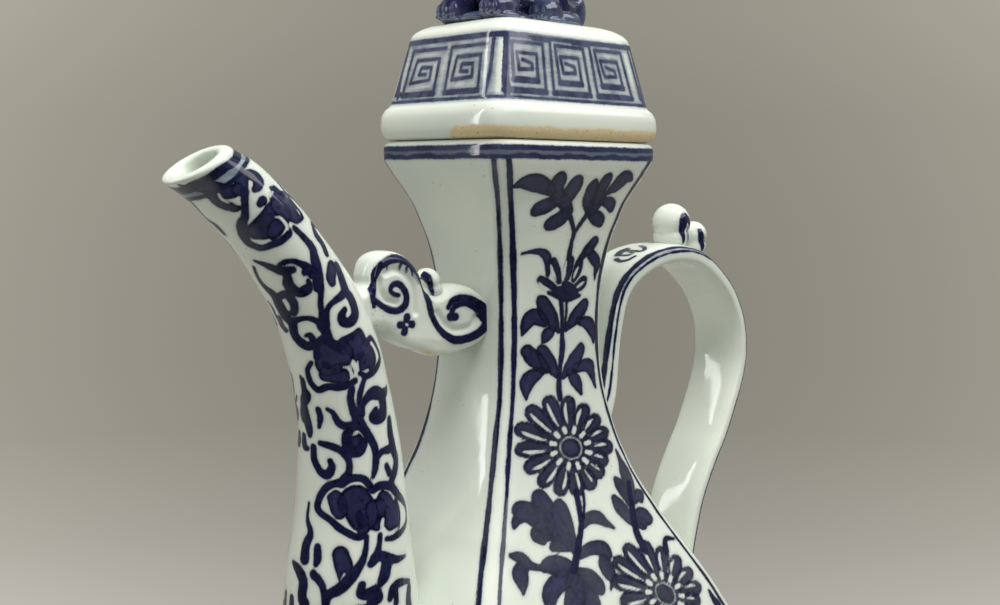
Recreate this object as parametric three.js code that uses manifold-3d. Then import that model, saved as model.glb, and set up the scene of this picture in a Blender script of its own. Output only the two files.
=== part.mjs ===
// A blue-and-white porcelain ewer of oblong section, with a curved spout held
// by a scrolled strut, a strap handle, and a loose lid with a guardian-lion knob.
// Millimetres, +Z up. The spout points to -X, the handle to +X.
// The body stands on its foot ring at z = 0. The vessel group is shifted along X
// so that the origin is the centre of the whole box on the resting plane.
import * as THREE from 'three';
import { mergeVertices } from 'three/addons/utils/BufferGeometryUtils.js';
import Module from 'manifold-3d';

const wasm = await Module();
wasm.setup();

// Driving dimensions of the vessel
const vesselHeight = 287;
const bellyHalf = 77;
const sectionAspect = 0.75;
const cornerCut = 2.8;
const wall = 5;
const footHeight = 8;
const footHalf = 46.5;
const footWall = 8;
const footChamfer = 1;
const rimHalf = 40.2;
const rimBandDepth = 6.5;
const rimRound = 1.6;
const mouthHalf = 31.4;
const mouthDepth = 15;
const clearance = 0.3;
const overrun = 4;

// Driving dimensions of the spout and its strut
const spoutReach = 138;
const spoutRadius = 22;
const spoutWallShare = 0.38;
const strutWidth = 12;
const strutRootWidth = 20;
const strutRootRun = 14;
const strutBevel = 1.8;
const budRadius = 4.4;
const budWidth = 10;

// Driving dimensions of the handle and its tie loop
const handleReach = 124;
const handleWidth = 24.5;
const handleThickness = 8.2;
const largeScrollRadius = 7.75;
const smallScrollRadius = 5.6;

// Driving dimensions of the lid
const lidHeight = 41.7;
const lidFlangeHalf = 41;
const lidWall = 5;
const collarHalf = 29.6;
const collarWall = 3.6;
const collarDepth = 9.5;

// Driving dimensions of the lion
const lionLength = 50;
const lionWidth = 28.6;
const lionHeight = 46;
const lionAdvance = 3.2;

// Where the neck is luted to the belly, and the lid's seat above the rim
const seamHeight = 0.6 * vesselHeight;
const lidSeat = vesselHeight + clearance;

// Counts of the facets
const sectionSides = 24;
const bodySteps = 30;
const spoutSides = 16;
const spoutSteps = 24;
const strutSteps = 32;
const handleSides = 12;
const handleSteps = 30;
const ballSides = 12;
const ballRings = 8;
const curlSides = 8;
const curlRings = 6;

// Outer profile of the body: shares of the vessel's height and of the belly's half length
const bodyProfileShares = [
  [0.028, 0.592], [0.045, 0.622], [0.065, 0.668], [0.094, 0.738], [0.13, 0.825], [0.171, 0.91],
  [0.213, 0.969], [0.25, 0.995], [0.286, 1], [0.322, 0.983], [0.358, 0.942], [0.392, 0.885],
  [0.413, 0.84], [0.436, 0.797], [0.46, 0.747], [0.495, 0.668], [0.531, 0.584], [0.551, 0.543],
  [0.571, 0.502], [0.592, 0.464], [0.61, 0.437], [0.634, 0.404], [0.669, 0.369], [0.7, 0.346],
  [0.732, 0.332], [0.765, 0.326], [0.8, 0.326], [0.836, 0.335], [0.869, 0.355], [0.89, 0.374],
  [0.903, 0.39], [0.927, 0.42], [0.945, 0.455], [0.962, 0.492],
];

// Spout centreline and outer radius: shares of its reach, the vessel's height and its radius
const spoutCourseShares = [
  [-0.33, 0.275, 1.05], [-0.42, 0.298, 1.05], [-0.485, 0.34, 1.05], [-0.522, 0.39, 1.04],
  [-0.54, 0.44, 1.01], [-0.544, 0.49, 0.977], [-0.545, 0.53, 0.925], [-0.544, 0.563, 0.86],
  [-0.542, 0.595, 0.81], [-0.543, 0.631, 0.768], [-0.546, 0.664, 0.732], [-0.554, 0.698, 0.691],
  [-0.567, 0.73, 0.668], [-0.584, 0.764, 0.652], [-0.624, 0.814, 0.615], [-0.659, 0.843, 0.58],
  [-0.698, 0.869, 0.555], [-0.754, 0.903, 0.527], [-0.804, 0.927, 0.507], [-0.867, 0.953, 0.488],
  [-0.93, 0.9705, 0.53],
];
const mouthTilt = THREE.MathUtils.degToRad(32);
const spoutBlendShare = 0.12;

// Strut outline, seen from -Y: shares of the spout's reach and the vessel's height
const strutOutlineShares = [
  [-0.55, 0.797], [-0.549, 0.829], [-0.515, 0.841], [-0.512, 0.852], [-0.5, 0.867],
  [-0.477, 0.875], [-0.444, 0.877], [-0.411, 0.873], [-0.381, 0.863], [-0.36, 0.85],
  [-0.345, 0.833], [-0.317, 0.825], [-0.28, 0.829], [-0.243, 0.835], [-0.204, 0.831],
  [-0.17, 0.817], [-0.149, 0.8], [-0.156, 0.781], [-0.19, 0.763], [-0.237, 0.755],
  [-0.275, 0.753], [-0.319, 0.754], [-0.362, 0.762], [-0.402, 0.768], [-0.439, 0.778],
  [-0.472, 0.791],
];
const strutRootShare = 0.795;
const budPlaceShares = [-0.312, 0.8405];

// Handle centreline and half thickness: shares of its reach, the vessel's height and its thickness
const handleCourseShares = [
  [0.17, 0.628, 0.62], [0.235, 0.65, 0.62], [0.275, 0.68, 0.6], [0.296, 0.711, 0.56],
  [0.314, 0.752, 0.53], [0.332, 0.786, 0.51], [0.353, 0.808, 0.5], [0.384, 0.824, 0.5],
  [0.425, 0.836, 0.49], [0.483, 0.847, 0.49], [0.54, 0.853, 0.49], [0.602, 0.856, 0.48],
  [0.665, 0.8545, 0.47], [0.721, 0.849, 0.46], [0.78, 0.8375, 0.45], [0.851, 0.816, 0.43],
  [0.899, 0.796, 0.425], [0.933, 0.775, 0.42], [0.957, 0.754, 0.42], [0.971, 0.728, 0.42],
  [0.972, 0.698, 0.42], [0.958, 0.673, 0.42], [0.936, 0.649, 0.42], [0.898, 0.615, 0.41],
  [0.865, 0.589, 0.41], [0.821, 0.561, 0.41], [0.781, 0.532, 0.4], [0.748, 0.503, 0.4],
  [0.722, 0.467, 0.4], [0.702, 0.43, 0.4], [0.69, 0.394, 0.42], [0.664, 0.36, 0.45],
  [0.615, 0.332, 0.5], [0.545, 0.312, 0.55], [0.47, 0.3, 0.55],
];
const handleFlareShare = 0.3;
const handleFlareRunShare = 0.14;
const largeScrollShares = [0.689, 0.897];
const smallScrollShares = [0.798, 0.874];
const scrollRootShares = [0.85, 1, 0.75];

// Lid profile: shares of the lid's height and of the flange's half length
const lidProfileShares = [
  [0, 0.9], [0, 0.93], [0.02, 0.972], [0.065, 0.995], [0.13, 1], [0.195, 0.993], [0.245, 0.97],
  [0.275, 0.941], [0.3, 0.929], [0.55, 0.868], [0.8, 0.806], [0.845, 0.79], [0.893, 0.75],
  [0.94, 0.66], [0.965, 0.54], [0.985, 0.34], [1, 0.12],
];

// Lion pieces as balls: centre and radii, as shares of half the length, half the width
// and the height. The head looks to -X, towards the spout.
const lionBallShares = {
  lion_body: [[0.2, 0, 0.32, 0.66, 0.66, 0.23], [-0.2, 0, 0.42, 0.46, 0.66, 0.24]],
  lion_head: [[-0.46, 0, 0.75, 0.4, 0.64, 0.19], [-0.78, 0, 0.68, 0.26, 0.44, 0.1]],
  lion_jaw: [[-0.72, 0, 0.555, 0.22, 0.34, 0.06]],
  lion_tail: [[0.74, 0, 0.5, 0.22, 0.4, 0.15], [0.76, 0, 0.7, 0.17, 0.3, 0.15]],
};
const lionSideBallShares = {
  lion_foreleg: [[-0.5, 0.54, 0.24, 0.21, 0.3, 0.26], [-0.72, 0.66, 0.08, 0.28, 0.34, 0.09]],
  lion_hindleg: [[0.58, 0.56, 0.2, 0.42, 0.42, 0.22], [0.14, 0.7, 0.08, 0.32, 0.3, 0.09]],
  lion_ear: [[-0.42, 0.66, 0.89, 0.14, 0.18, 0.08]],
};
const maneCurls = 8;
const maneCurlShares = [0.24, 0.3, 0.095];
const maneRingShares = [-0.22, 0.7, 0.76, 0.215];

// Colours of the glaze
const porcelain = { color: 0xdde2dc, roughness: 0.16, metalness: 0 };
const cobalt = { color: 0x141a46, roughness: 0.14, metalness: 0 };

// A closed geometry becomes a solid that can be joined and cut
function solidOf(geometry) {
  const bare = geometry.clone();
  bare.deleteAttribute('normal');
  bare.deleteAttribute('uv');
  const merged = mergeVertices(bare);
  return new wasm.Manifold(new wasm.Mesh({
    numProp: 3,
    vertProperties: new Float32Array(merged.attributes.position.array),
    triVerts: new Uint32Array(merged.index.array),
  }));
}

// A solid becomes a named mesh
function meshOf(name, solid, look) {
  const data = solid.getMesh();
  const geometry = new THREE.BufferGeometry();
  geometry.setAttribute('position', new THREE.BufferAttribute(data.vertProperties, 3));
  geometry.setIndex(new THREE.BufferAttribute(data.triVerts, 1));
  geometry.computeVertexNormals();
  const mesh = new THREE.Mesh(geometry, new THREE.MeshStandardMaterial(look));
  mesh.name = name;
  return mesh;
}

// Exponent of the rounded oblong whose corner is cut back by cornerCut
function squareness(half) {
  const diagonal = half * Math.hypot(1, sectionAspect);
  return Math.max(2, Math.LN2 * diagonal / cornerCut);
}

// A profile of [half length, height] points is revolved, then each round is squared
function oblong(profile) {
  const points = profile.map(([half, z]) => new THREE.Vector2(half, z));
  const geometry = new THREE.LatheGeometry(points, sectionSides);
  geometry.rotateX(Math.PI / 2);
  const place = geometry.attributes.position;
  for (let i = 0; i < place.count; i += 1) {
    const half = Math.hypot(place.getX(i), place.getY(i));
    const turn = Math.round(Math.atan2(place.getY(i), place.getX(i)) * sectionSides / (2 * Math.PI));
    const angle = turn * 2 * Math.PI / sectionSides;
    const power = 2 / squareness(half);
    const along = Math.cos(angle);
    const across = Math.sin(angle);
    const isTiny = (value) => Math.abs(value) < Number.EPSILON * sectionSides;
    const x = isTiny(along) ? 0 : Math.sign(along) * Math.abs(along) ** power;
    const y = isTiny(across) ? 0 : Math.sign(across) * Math.abs(across) ** power;
    place.setXYZ(i, half * x, half * sectionAspect * y, place.getZ(i));
  }
  return solidOf(geometry);
}

// Rings of points become a closed loft with fan caps
function loft(rings) {
  const count = rings[0].length;
  const positions = [];
  const index = [];
  rings.forEach((ring) => ring.forEach((p) => positions.push(p.x, p.y, p.z)));
  for (let r = 0; r + 1 < rings.length; r += 1) {
    for (let k = 0; k < count; k += 1) {
      const a = r * count + k;
      const b = r * count + (k + 1) % count;
      index.push(a, a + count, b, b, a + count, b + count);
    }
  }
  const cap = (ring, first, flip) => {
    const middle = new THREE.Vector3();
    ring.forEach((p) => middle.addScaledVector(p, 1 / count));
    const centre = positions.length / 3;
    positions.push(middle.x, middle.y, middle.z);
    for (let k = 0; k < count; k += 1) {
      const a = first + k;
      const b = first + (k + 1) % count;
      index.push(...(flip ? [centre, a, b] : [centre, b, a]));
    }
  };
  cap(rings[0], 0, true);
  cap(rings[rings.length - 1], (rings.length - 1) * count, false);
  const geometry = new THREE.BufferGeometry();
  geometry.setAttribute('position', new THREE.Float32BufferAttribute(positions, 3));
  geometry.setIndex(index);
  return solidOf(geometry);
}

// A ring in the plane of Y and a direction in XZ, of a superellipse's shape
function ringAt(centre, direction, halfAcross, halfY, power, sides) {
  const ring = [];
  for (let k = 0; k < sides; k += 1) {
    const angle = 2 * Math.PI * k / sides;
    const c = Math.cos(angle);
    const s = Math.sin(angle);
    const across = Math.sign(c) * Math.abs(c) ** power * halfAcross;
    const y = Math.sign(s) * Math.abs(s) ** power * halfY;
    ring.push(new THREE.Vector3(centre.x + direction.x * across, y, centre.y + direction.y * across));
  }
  return ring;
}

// Samples of a course of [x, z, value] points, each with its tangent in XZ
function courseOf(points, steps) {
  const curve = new THREE.CatmullRomCurve3(points.map(([x, z, v]) => new THREE.Vector3(x, z, v)));
  return Array.from({ length: steps + 1 }, (unused, i) => {
    const share = i / steps;
    const p = curve.getPointAt(share);
    const tangent = curve.getTangentAt(share);
    const flat = new THREE.Vector2(tangent.x, tangent.y).normalize();
    return { share, centre: new THREE.Vector2(p.x, p.y), value: p.z, tangent: flat };
  });
}

// Belly and neck
const bodyCurve = new THREE.SplineCurve(bodyProfileShares
  .map(([z, half]) => new THREE.Vector2(half * bellyHalf, z * vesselHeight)));
const bodyPoints = bodyCurve.getPoints(bodySteps).map((p) => [p.x, p.y]);
const rimFoot = vesselHeight - rimBandDepth;
const rimPoints = [
  [rimHalf - rimRound / 2, rimFoot - rimRound], [rimHalf, rimFoot],
  [rimHalf, vesselHeight - rimRound], [rimHalf - rimRound, vesselHeight],
];
const bodyFoot = bodyPoints[0];
bodyFoot[1] = footHeight;

function halfAt(points, z) {
  const above = points.findIndex((p) => p[1] >= z);
  const [h1, z1] = points[above - 1];
  const [h2, z2] = points[above];
  return h1 + (h2 - h1) * (z - z1) / (z2 - z1);
}

const seamHalf = halfAt(bodyPoints, seamHeight);
const bellyOuter = [...bodyPoints.filter((p) => p[1] < seamHeight), [seamHalf, seamHeight]];
const neckOuter = [[seamHalf, seamHeight], ...bodyPoints.filter((p) => p[1] > seamHeight), ...rimPoints];
const inward = ([half, z]) => [half - wall, z];
const floorHeight = footHeight + wall;
const bellyInner = bellyOuter.filter((p) => p[1] > floorHeight + wall).map(inward).reverse();
const floorHalf = bellyInner[bellyInner.length - 1][0] - wall;
const mouthFloor = vesselHeight - mouthDepth;
const neckInner = bodyPoints.filter((p) => p[1] > seamHeight && p[1] < mouthFloor - wall).map(inward);

const bellyProfile = [[0, footHeight], ...bellyOuter, ...bellyInner, [floorHalf, floorHeight],
  [0, floorHeight]];
const neckProfile = [...neckOuter, [mouthHalf + rimRound, vesselHeight],
  [mouthHalf, vesselHeight - rimRound], [mouthHalf, mouthFloor], ...neckInner.reverse(),
  [seamHalf - wall, seamHeight], [seamHalf, seamHeight]];
const grownOutline = [...bodyPoints, ...rimPoints].map(([half, z]) => [half + clearance, z]);
const grownBody = oblong([[0, footHeight - clearance], [bodyFoot[0] + clearance, footHeight - clearance],
  ...grownOutline, [rimHalf - rimRound, vesselHeight + clearance], [0, vesselHeight + clearance]]);

// Spout: a loft along its course, whose last rings lean to the mouth's plane
function spoutLoft(radiusOf, pastEnds) {
  const points = spoutCourseShares
    .map(([x, z, r]) => [x * spoutReach, z * vesselHeight, r * spoutRadius]);
  const course = courseOf(points, spoutSteps);
  const rings = course.map(({ share, centre, value, tangent }) => {
    const square = new THREE.Vector2(-tangent.y, tangent.x);
    const across = new THREE.Vector2(-Math.cos(mouthTilt), -Math.sin(mouthTilt));
    const blend = THREE.MathUtils.smoothstep(share, 1 - spoutBlendShare, 1);
    const direction = square.clone().lerp(across, blend).normalize();
    return ringAt(centre, direction, radiusOf(value), radiusOf(value), 1, spoutSides);
  });
  if (pastEnds) {
    const last = course[course.length - 1];
    const beyond = last.centre.clone().addScaledVector(last.tangent, overrun);
    const across = new THREE.Vector2(-Math.cos(mouthTilt), -Math.sin(mouthTilt));
    const radius = radiusOf(last.value);
    rings.push(ringAt(beyond, across, radius, radius, 1, spoutSides));
  }
  return loft(rings);
}

const spoutOuter = spoutLoft((r) => r, false);
const spoutBore = spoutLoft((r) => r * (1 - spoutWallShare), true);
const grownSpout = spoutLoft((r) => r + clearance, false);

// Strut: an extruded scroll between the spout and the neck
function strutSolid(grow = 0) {
  const points = strutOutlineShares
    .map(([x, z]) => new THREE.Vector3(x * spoutReach, z * vesselHeight, 0));
  const curve = new THREE.CatmullRomCurve3(points, true, 'centripetal');
  const outline = curve.getPoints(strutSteps).slice(0, -1).map((p) => new THREE.Vector2(p.x, p.y));
  const depth = strutWidth - 2 * strutBevel + 2 * grow;
  const geometry = new THREE.ExtrudeGeometry(new THREE.Shape(outline), {
    depth, bevelEnabled: true, bevelThickness: strutBevel, bevelSize: strutBevel,
    bevelOffset: grow - strutBevel, bevelSegments: 2, steps: 1,
  });
  geometry.translate(0, 0, -depth / 2);
  geometry.rotateX(Math.PI / 2);
  // It spreads in width where it meets the neck
  const place = geometry.attributes.position;
  const neckHalf = halfAt(bodyPoints, strutRootShare * vesselHeight);
  for (let i = 0; i < place.count; i += 1) {
    const run = THREE.MathUtils.clamp((-neckHalf - place.getX(i)) / strutRootRun, 0, 1);
    const spread = 1 + (strutRootWidth / strutWidth - 1) * (1 - run) ** 2;
    place.setY(i, place.getY(i) * spread);
  }
  return solidOf(geometry);
}

// A ball with its own radii, its facets in rings around Y
function ball(centre, radii, grow = 0, sides = ballSides, rounds = ballRings) {
  const geometry = new THREE.SphereGeometry(1, sides, rounds);
  geometry.scale(radii[0] + grow, radii[1] + grow, radii[2] + grow);
  geometry.translate(...centre);
  return solidOf(geometry);
}

// Handle: a strap whose root and end are spread
function handleLoft(grow) {
  const points = handleCourseShares
    .map(([x, z, t]) => [x * handleReach, z * vesselHeight, t * handleThickness]);
  const strapPower = 0.5;
  const rings = courseOf(points, handleSteps).map(({ share, centre, value, tangent }) => {
    const square = new THREE.Vector2(-tangent.y, tangent.x);
    const fromEnd = Math.min(share, 1 - share) / handleFlareRunShare;
    const flare = 1 + handleFlareShare * (1 - THREE.MathUtils.smoothstep(fromEnd, 0, 1));
    return ringAt(centre, square, value + grow, flare * handleWidth / 2 + grow, strapPower, handleSides);
  });
  return loft(rings);
}

// Lid: a hollow canopy and the collar that stands in the mouth
const lidOuter = lidProfileShares.map(([z, half]) => [half * lidFlangeHalf, lidSeat + z * lidHeight]);
const lidTop = lidSeat + lidHeight;
const collarInner = collarHalf - collarWall;
const crownSpan = lidOuter.filter((p) => p[1] > lidSeat + lidWall && p[1] < lidTop - lidWall);
const hollowWall = (lidFlangeHalf - collarInner) / 2;
const lidInner = crownSpan.map(([half, z]) => [Math.max(half - hollowWall, lidWall), z - lidWall / 2]);
const canopyProfile = [[collarInner, lidSeat], ...lidOuter, [0, lidTop], [0, lidTop - lidWall],
  [lidInner[lidInner.length - 1][0] / 2, lidTop - lidWall], ...lidInner.reverse(),
  [collarInner, lidSeat]];
const collarProfile = [[collarInner, lidSeat], [collarInner, lidSeat - collarDepth],
  [collarHalf, lidSeat - collarDepth], [collarHalf, lidSeat], [collarInner, lidSeat]];
const grownLid = oblong([[0, lidSeat], ...lidOuter.map(([half, z]) => [half, z + clearance]),
  [0, lidTop + clearance]]);

const footProfile = [
  [footHalf - footWall, footHeight], [footHalf - footWall, footChamfer],
  [footHalf - footWall + footChamfer, 0], [footHalf - footChamfer, 0],
  [footHalf, footChamfer], [bodyFoot[0], footHeight], [footHalf - footWall, footHeight],
];

const belly = oblong(bellyProfile).subtract(spoutBore);
const neck = oblong(neckProfile);
const foot = oblong(footProfile);
const spout = spoutOuter.subtract(grownBody).subtract(spoutBore);
const strut = strutSolid().subtract(grownBody).subtract(grownSpout);

// The spout is moulded in two halves that are luted along the middle
function spoutHalf(side) {
  const half = new THREE.BoxGeometry(2 * spoutReach, spoutReach, 2 * vesselHeight);
  half.translate(-spoutReach, side * spoutReach / 2, vesselHeight / 2);
  return spout.intersect(solidOf(half));
}

function budSolid() {
  const [x, z] = budPlaceShares;
  const centre = [x * spoutReach, 0, z * vesselHeight];
  return ball(centre, [budRadius, budWidth / 2, budRadius]).subtract(strutSolid(clearance));
}

const handle = handleLoft(0).subtract(grownBody);
const grownHandle = handleLoft(clearance);

// Tie loop: each scroll is a ball on a lower, wider root, cut to the strap's back
function scrollSolid([x, z], radius, grow) {
  const top = ball([x * handleReach, 0, z * vesselHeight], [radius, radius, radius], grow);
  const radii = scrollRootShares.map((share) => share * radius);
  const root = ball([x * handleReach, 0, z * vesselHeight - radii[2]], radii, grow);
  return top.add(root);
}

const largeScroll = scrollSolid(largeScrollShares, largeScrollRadius, 0).subtract(grownHandle);
const grownLarge = scrollSolid(largeScrollShares, largeScrollRadius, clearance);
const smallScroll = scrollSolid(smallScrollShares, smallScrollRadius, 0)
  .subtract(grownHandle).subtract(grownLarge);

// Lion: each piece is balls joined, then cut clear of the pieces it is luted to
function lionBall([x, y, z, rx, ry, rz], side, grow, curly) {
  const along = x * lionLength / 2 - lionAdvance;
  const centre = [along, side * y * lionWidth / 2, lidTop + z * lionHeight];
  const radii = [rx * lionLength / 2, ry * lionWidth / 2, rz * lionHeight];
  return curly ? ball(centre, radii, grow, curlSides, curlRings) : ball(centre, radii, grow);
}

function lionPiece(shares, side = 1, grow = 0, curly = false) {
  return shares.map((one) => lionBall(one, side, grow, curly)).reduce((all, one) => all.add(one));
}

function maneShares() {
  const [x, z, acrossShare, upShare] = maneRingShares;
  return Array.from({ length: maneCurls }, (unused, i) => {
    const angle = Math.PI * (i / (maneCurls - 1) * 1.5 - 0.25);
    return [x, acrossShare * Math.cos(angle), z + upShare * Math.sin(angle), ...maneCurlShares];
  });
}

const vessel = new THREE.Group();
vessel.position.x = (spoutReach - handleReach) / 2;
vessel.add(
  meshOf('belly', belly, porcelain),
  meshOf('neck', neck, porcelain),
  meshOf('foot_ring', foot, porcelain),
  meshOf('spout_half_left', spoutHalf(-1), porcelain),
  meshOf('spout_half_right', spoutHalf(1), porcelain),
  meshOf('spout_strut', strut, porcelain),
  meshOf('strut_bud', budSolid(), porcelain),
  meshOf('handle', handle, porcelain),
  meshOf('tie_scroll_large', largeScroll, porcelain),
  meshOf('tie_scroll_small', smallScroll, porcelain),
);

const lid = new THREE.Group();
lid.add(meshOf('lid_canopy', oblong(canopyProfile), porcelain));
lid.add(meshOf('lid_collar', oblong(collarProfile), porcelain));

// The pieces are cut in this order, each by the lid and by those before it
let taken = grownLid;
function addLionPiece(name, shares, side = 1, curly = false) {
  lid.add(meshOf(name, lionPiece(shares, side, 0, curly).subtract(taken), cobalt));
  taken = taken.add(lionPiece(shares, side, clearance, curly));
}
addLionPiece('lion_body', lionBallShares.lion_body);
addLionPiece('lion_head', lionBallShares.lion_head);
addLionPiece('lion_jaw', lionBallShares.lion_jaw);
for (const [name, shares] of Object.entries(lionSideBallShares)) {
  addLionPiece(`${name}_left`, shares, -1);
  addLionPiece(`${name}_right`, shares, 1);
}
addLionPiece('lion_mane', maneShares(), 1, true);
addLionPiece('lion_tail', lionBallShares.lion_tail);
vessel.add(lid);

const group = new THREE.Group();
group.add(vessel);
export default group;
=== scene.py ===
"""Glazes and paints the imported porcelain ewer.

Lengths in the tables and functions are millimetres about the vessel's upright axis, with the table
that it stands on at 0. Meshes are made in metres, in the frame's own place. The painting is kept as
distances to brush strokes on the points of fine meshes, which the glaze materials turn into cobalt.
"""

import math

import bmesh
import bpy
import numpy as np
from mathutils import Matrix, Vector


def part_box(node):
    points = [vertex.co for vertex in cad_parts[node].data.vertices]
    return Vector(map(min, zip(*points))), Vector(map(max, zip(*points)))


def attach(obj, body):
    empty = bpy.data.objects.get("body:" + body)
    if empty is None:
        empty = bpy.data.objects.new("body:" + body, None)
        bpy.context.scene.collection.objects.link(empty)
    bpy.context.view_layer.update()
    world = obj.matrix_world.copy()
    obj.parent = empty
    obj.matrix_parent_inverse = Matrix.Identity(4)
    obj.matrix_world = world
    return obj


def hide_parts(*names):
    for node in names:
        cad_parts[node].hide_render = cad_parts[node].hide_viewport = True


bl_info = {
    "name": "Painted Porcelain Ewer",
    "version": (1, 0, 0),
    "blender": (4, 5, 0),
    "location": "3D View > Sidebar > Ewer",
    "description": "Glazes and paints a lidded blue and white ewer around its packed frame",
    "category": "Add Mesh",
}

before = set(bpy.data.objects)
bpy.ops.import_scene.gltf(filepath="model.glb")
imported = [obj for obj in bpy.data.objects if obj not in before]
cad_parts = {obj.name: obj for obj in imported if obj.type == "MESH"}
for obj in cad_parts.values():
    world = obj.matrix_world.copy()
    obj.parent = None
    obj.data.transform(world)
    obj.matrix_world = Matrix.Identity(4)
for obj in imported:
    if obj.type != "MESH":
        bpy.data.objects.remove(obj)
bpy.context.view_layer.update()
MM = 0.001

FOOT_LOW, FOOT_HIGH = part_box("foot_ring")
BELLY_LOW, BELLY_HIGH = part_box("belly")
NECK_LOW, NECK_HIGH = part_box("neck")
LID_LOW, LID_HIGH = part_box("lid_canopy")
COLLAR_LOW, COLLAR_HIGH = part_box("lid_collar")
AXIS_X = (FOOT_LOW.x + FOOT_HIGH.x) / 2 / MM
VESSEL_HEIGHT = NECK_HIGH.z / MM
BELLY_HALF = (BELLY_HIGH.x - BELLY_LOW.x) / 2 / MM
SEAM_HEIGHT = BELLY_HIGH.z / MM
RIM_HALF = (NECK_HIGH.x - NECK_LOW.x) / 2 / MM
FOOT_HEIGHT = FOOT_HIGH.z / MM
FOOT_HALF = (FOOT_HIGH.x - FOOT_LOW.x) / 2 / MM
LID_SEAT = LID_LOW.z / MM
LID_HEIGHT = (LID_HIGH.z - LID_LOW.z) / MM
FLANGE_HALF = (LID_HIGH.x - LID_LOW.x) / 2 / MM
COLLAR_FOOT = COLLAR_LOW.z / MM
COLLAR_HALF = (COLLAR_HIGH.x - COLLAR_LOW.x) / 2 / MM

# Depth of the oblong section as a share of its width, and how far its corners are cut back
SECTION_ASPECT = 0.9992 * (BELLY_HIGH.y - BELLY_LOW.y) / (BELLY_HIGH.x - BELLY_LOW.x)
CORNER_CUT = 2.8

# Outer profile of the body: shares of the vessel's height and of the belly's half length
BODY_PROFILE_SHARES = (
    (0.028, 0.592), (0.045, 0.622), (0.065, 0.668), (0.094, 0.738), (0.13, 0.825), (0.171, 0.91),
    (0.213, 0.969), (0.25, 0.995), (0.286, 1), (0.322, 0.983), (0.358, 0.942), (0.392, 0.885), (0.413, 0.84),
    (0.436, 0.797), (0.46, 0.747), (0.495, 0.668), (0.531, 0.584), (0.551, 0.543), (0.571, 0.502),
    (0.592, 0.464), (0.61, 0.437), (0.634, 0.404), (0.669, 0.369), (0.7, 0.346), (0.732, 0.332),
    (0.765, 0.326), (0.8, 0.326), (0.836, 0.335), (0.869, 0.355), (0.89, 0.374), (0.903, 0.39), (0.927, 0.42),
    (0.945, 0.455), (0.962, 0.492),
)


def settings():
    """The sizes and colours that the sidebar shows."""
    return bpy.context.scene.ewer


def through(points, per_span=8, closed=False):
    """A smooth line through the given points, with so many steps to each span."""
    marks = np.asarray(points, float)
    if len(marks) < 3 and not closed:
        steps = np.linspace(0, 1, per_span + 1)[:, None]
        return marks[0] + (marks[-1] - marks[0]) * steps
    if closed:
        ends = np.vstack([marks[-1:], marks, marks[:2]])
        spans = len(marks)
    else:
        ends = np.vstack([2 * marks[0] - marks[1], marks, 2 * marks[-1] - marks[-2]])
        spans = len(marks) - 1
    steps = (np.arange(per_span) / per_span)[:, None]
    line = []
    for span in range(spans):
        before, start, stop, after = ends[span:span + 4]
        line.append(0.5 * (2 * start + (stop - before) * steps
                           + (2 * before - 5 * start + 4 * stop - after) * steps ** 2
                           + (3 * start - before - 3 * stop + after) * steps ** 3))
    if not closed:
        line.append(marks[-1:])
    return np.vstack(line)


def scaled(shares, *sizes):
    """A table of shares as lengths."""
    return np.asarray(shares, float) * sizes


def evened(line, steps):
    """The same line with its points evenly spaced, measured along its first two columns."""
    lengths = np.concatenate([[0], np.cumsum(np.hypot(*np.diff(line[:, :2], axis=0).T))])
    wanted = np.linspace(0, lengths[-1], steps + 1)
    return np.column_stack([np.interp(wanted, lengths, column) for column in line.T]), wanted


def smooth(value):
    """0 below 0, 1 above 1, and a soft rise between."""
    held = np.clip(value, 0, 1)
    return held * held * (3 - 2 * held)


PROFILE = through(scaled(BODY_PROFILE_SHARES, VESSEL_HEIGHT, BELLY_HALF))


def half_at(height):
    """Half length of the body's section at a height."""
    return np.interp(height, PROFILE[:, 0], PROFILE[:, 1])


def squareness(half):
    """Exponent of the rounded oblong whose corner is cut back by CORNER_CUT."""
    return np.maximum(2, math.log(2) * half * math.hypot(1, SECTION_ASPECT) / CORNER_CUT)


def inside_body(place, grow=0.0):
    """Below 0 inside the body's outer wall, for points in rows of x, y, z."""
    half = half_at(place[..., 2]) + grow
    power = squareness(half)
    share_x = np.abs(place[..., 0]) / half
    share_y = np.abs(place[..., 1]) / (SECTION_ASPECT * half + grow * (1 - SECTION_ASPECT))
    return share_x ** power + share_y ** power - 1


def square_course(wide_steps, narrow_steps):
    """Places round a unit square, from its corner at -X -Y anticlockwise, closer near the corners."""
    def side(steps):
        even = np.linspace(-1, 1, steps + 1)[:-1]
        return 1.2 * even - 0.2 * even ** 3
    wide = side(wide_steps)
    narrow = side(narrow_steps)
    ones_wide = np.ones_like(wide)
    ones_narrow = np.ones_like(narrow)
    across = np.concatenate([wide, ones_narrow, -wide, -ones_narrow, [-1]])
    deep = np.concatenate([-ones_wide, narrow, ones_wide, -narrow, [-1]])
    return across, deep


def squared_rings(profile, wide_steps, narrow_steps):
    """Points in rows by columns: each row of the profile is a height and a half length."""
    across, deep = square_course(wide_steps, narrow_steps)
    heights = np.array([row[0] for row in profile])[:, None]
    halves = np.array([row[1] for row in profile])[:, None]
    power = squareness(halves)
    reach = (np.abs(across) ** power + np.abs(deep) ** power) ** (-1 / power)
    places = np.empty((len(profile), len(across), 3))
    places[..., 0] = halves * across * reach
    places[..., 1] = halves * SECTION_ASPECT * deep * reach
    places[..., 2] = heights
    return places


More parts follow.
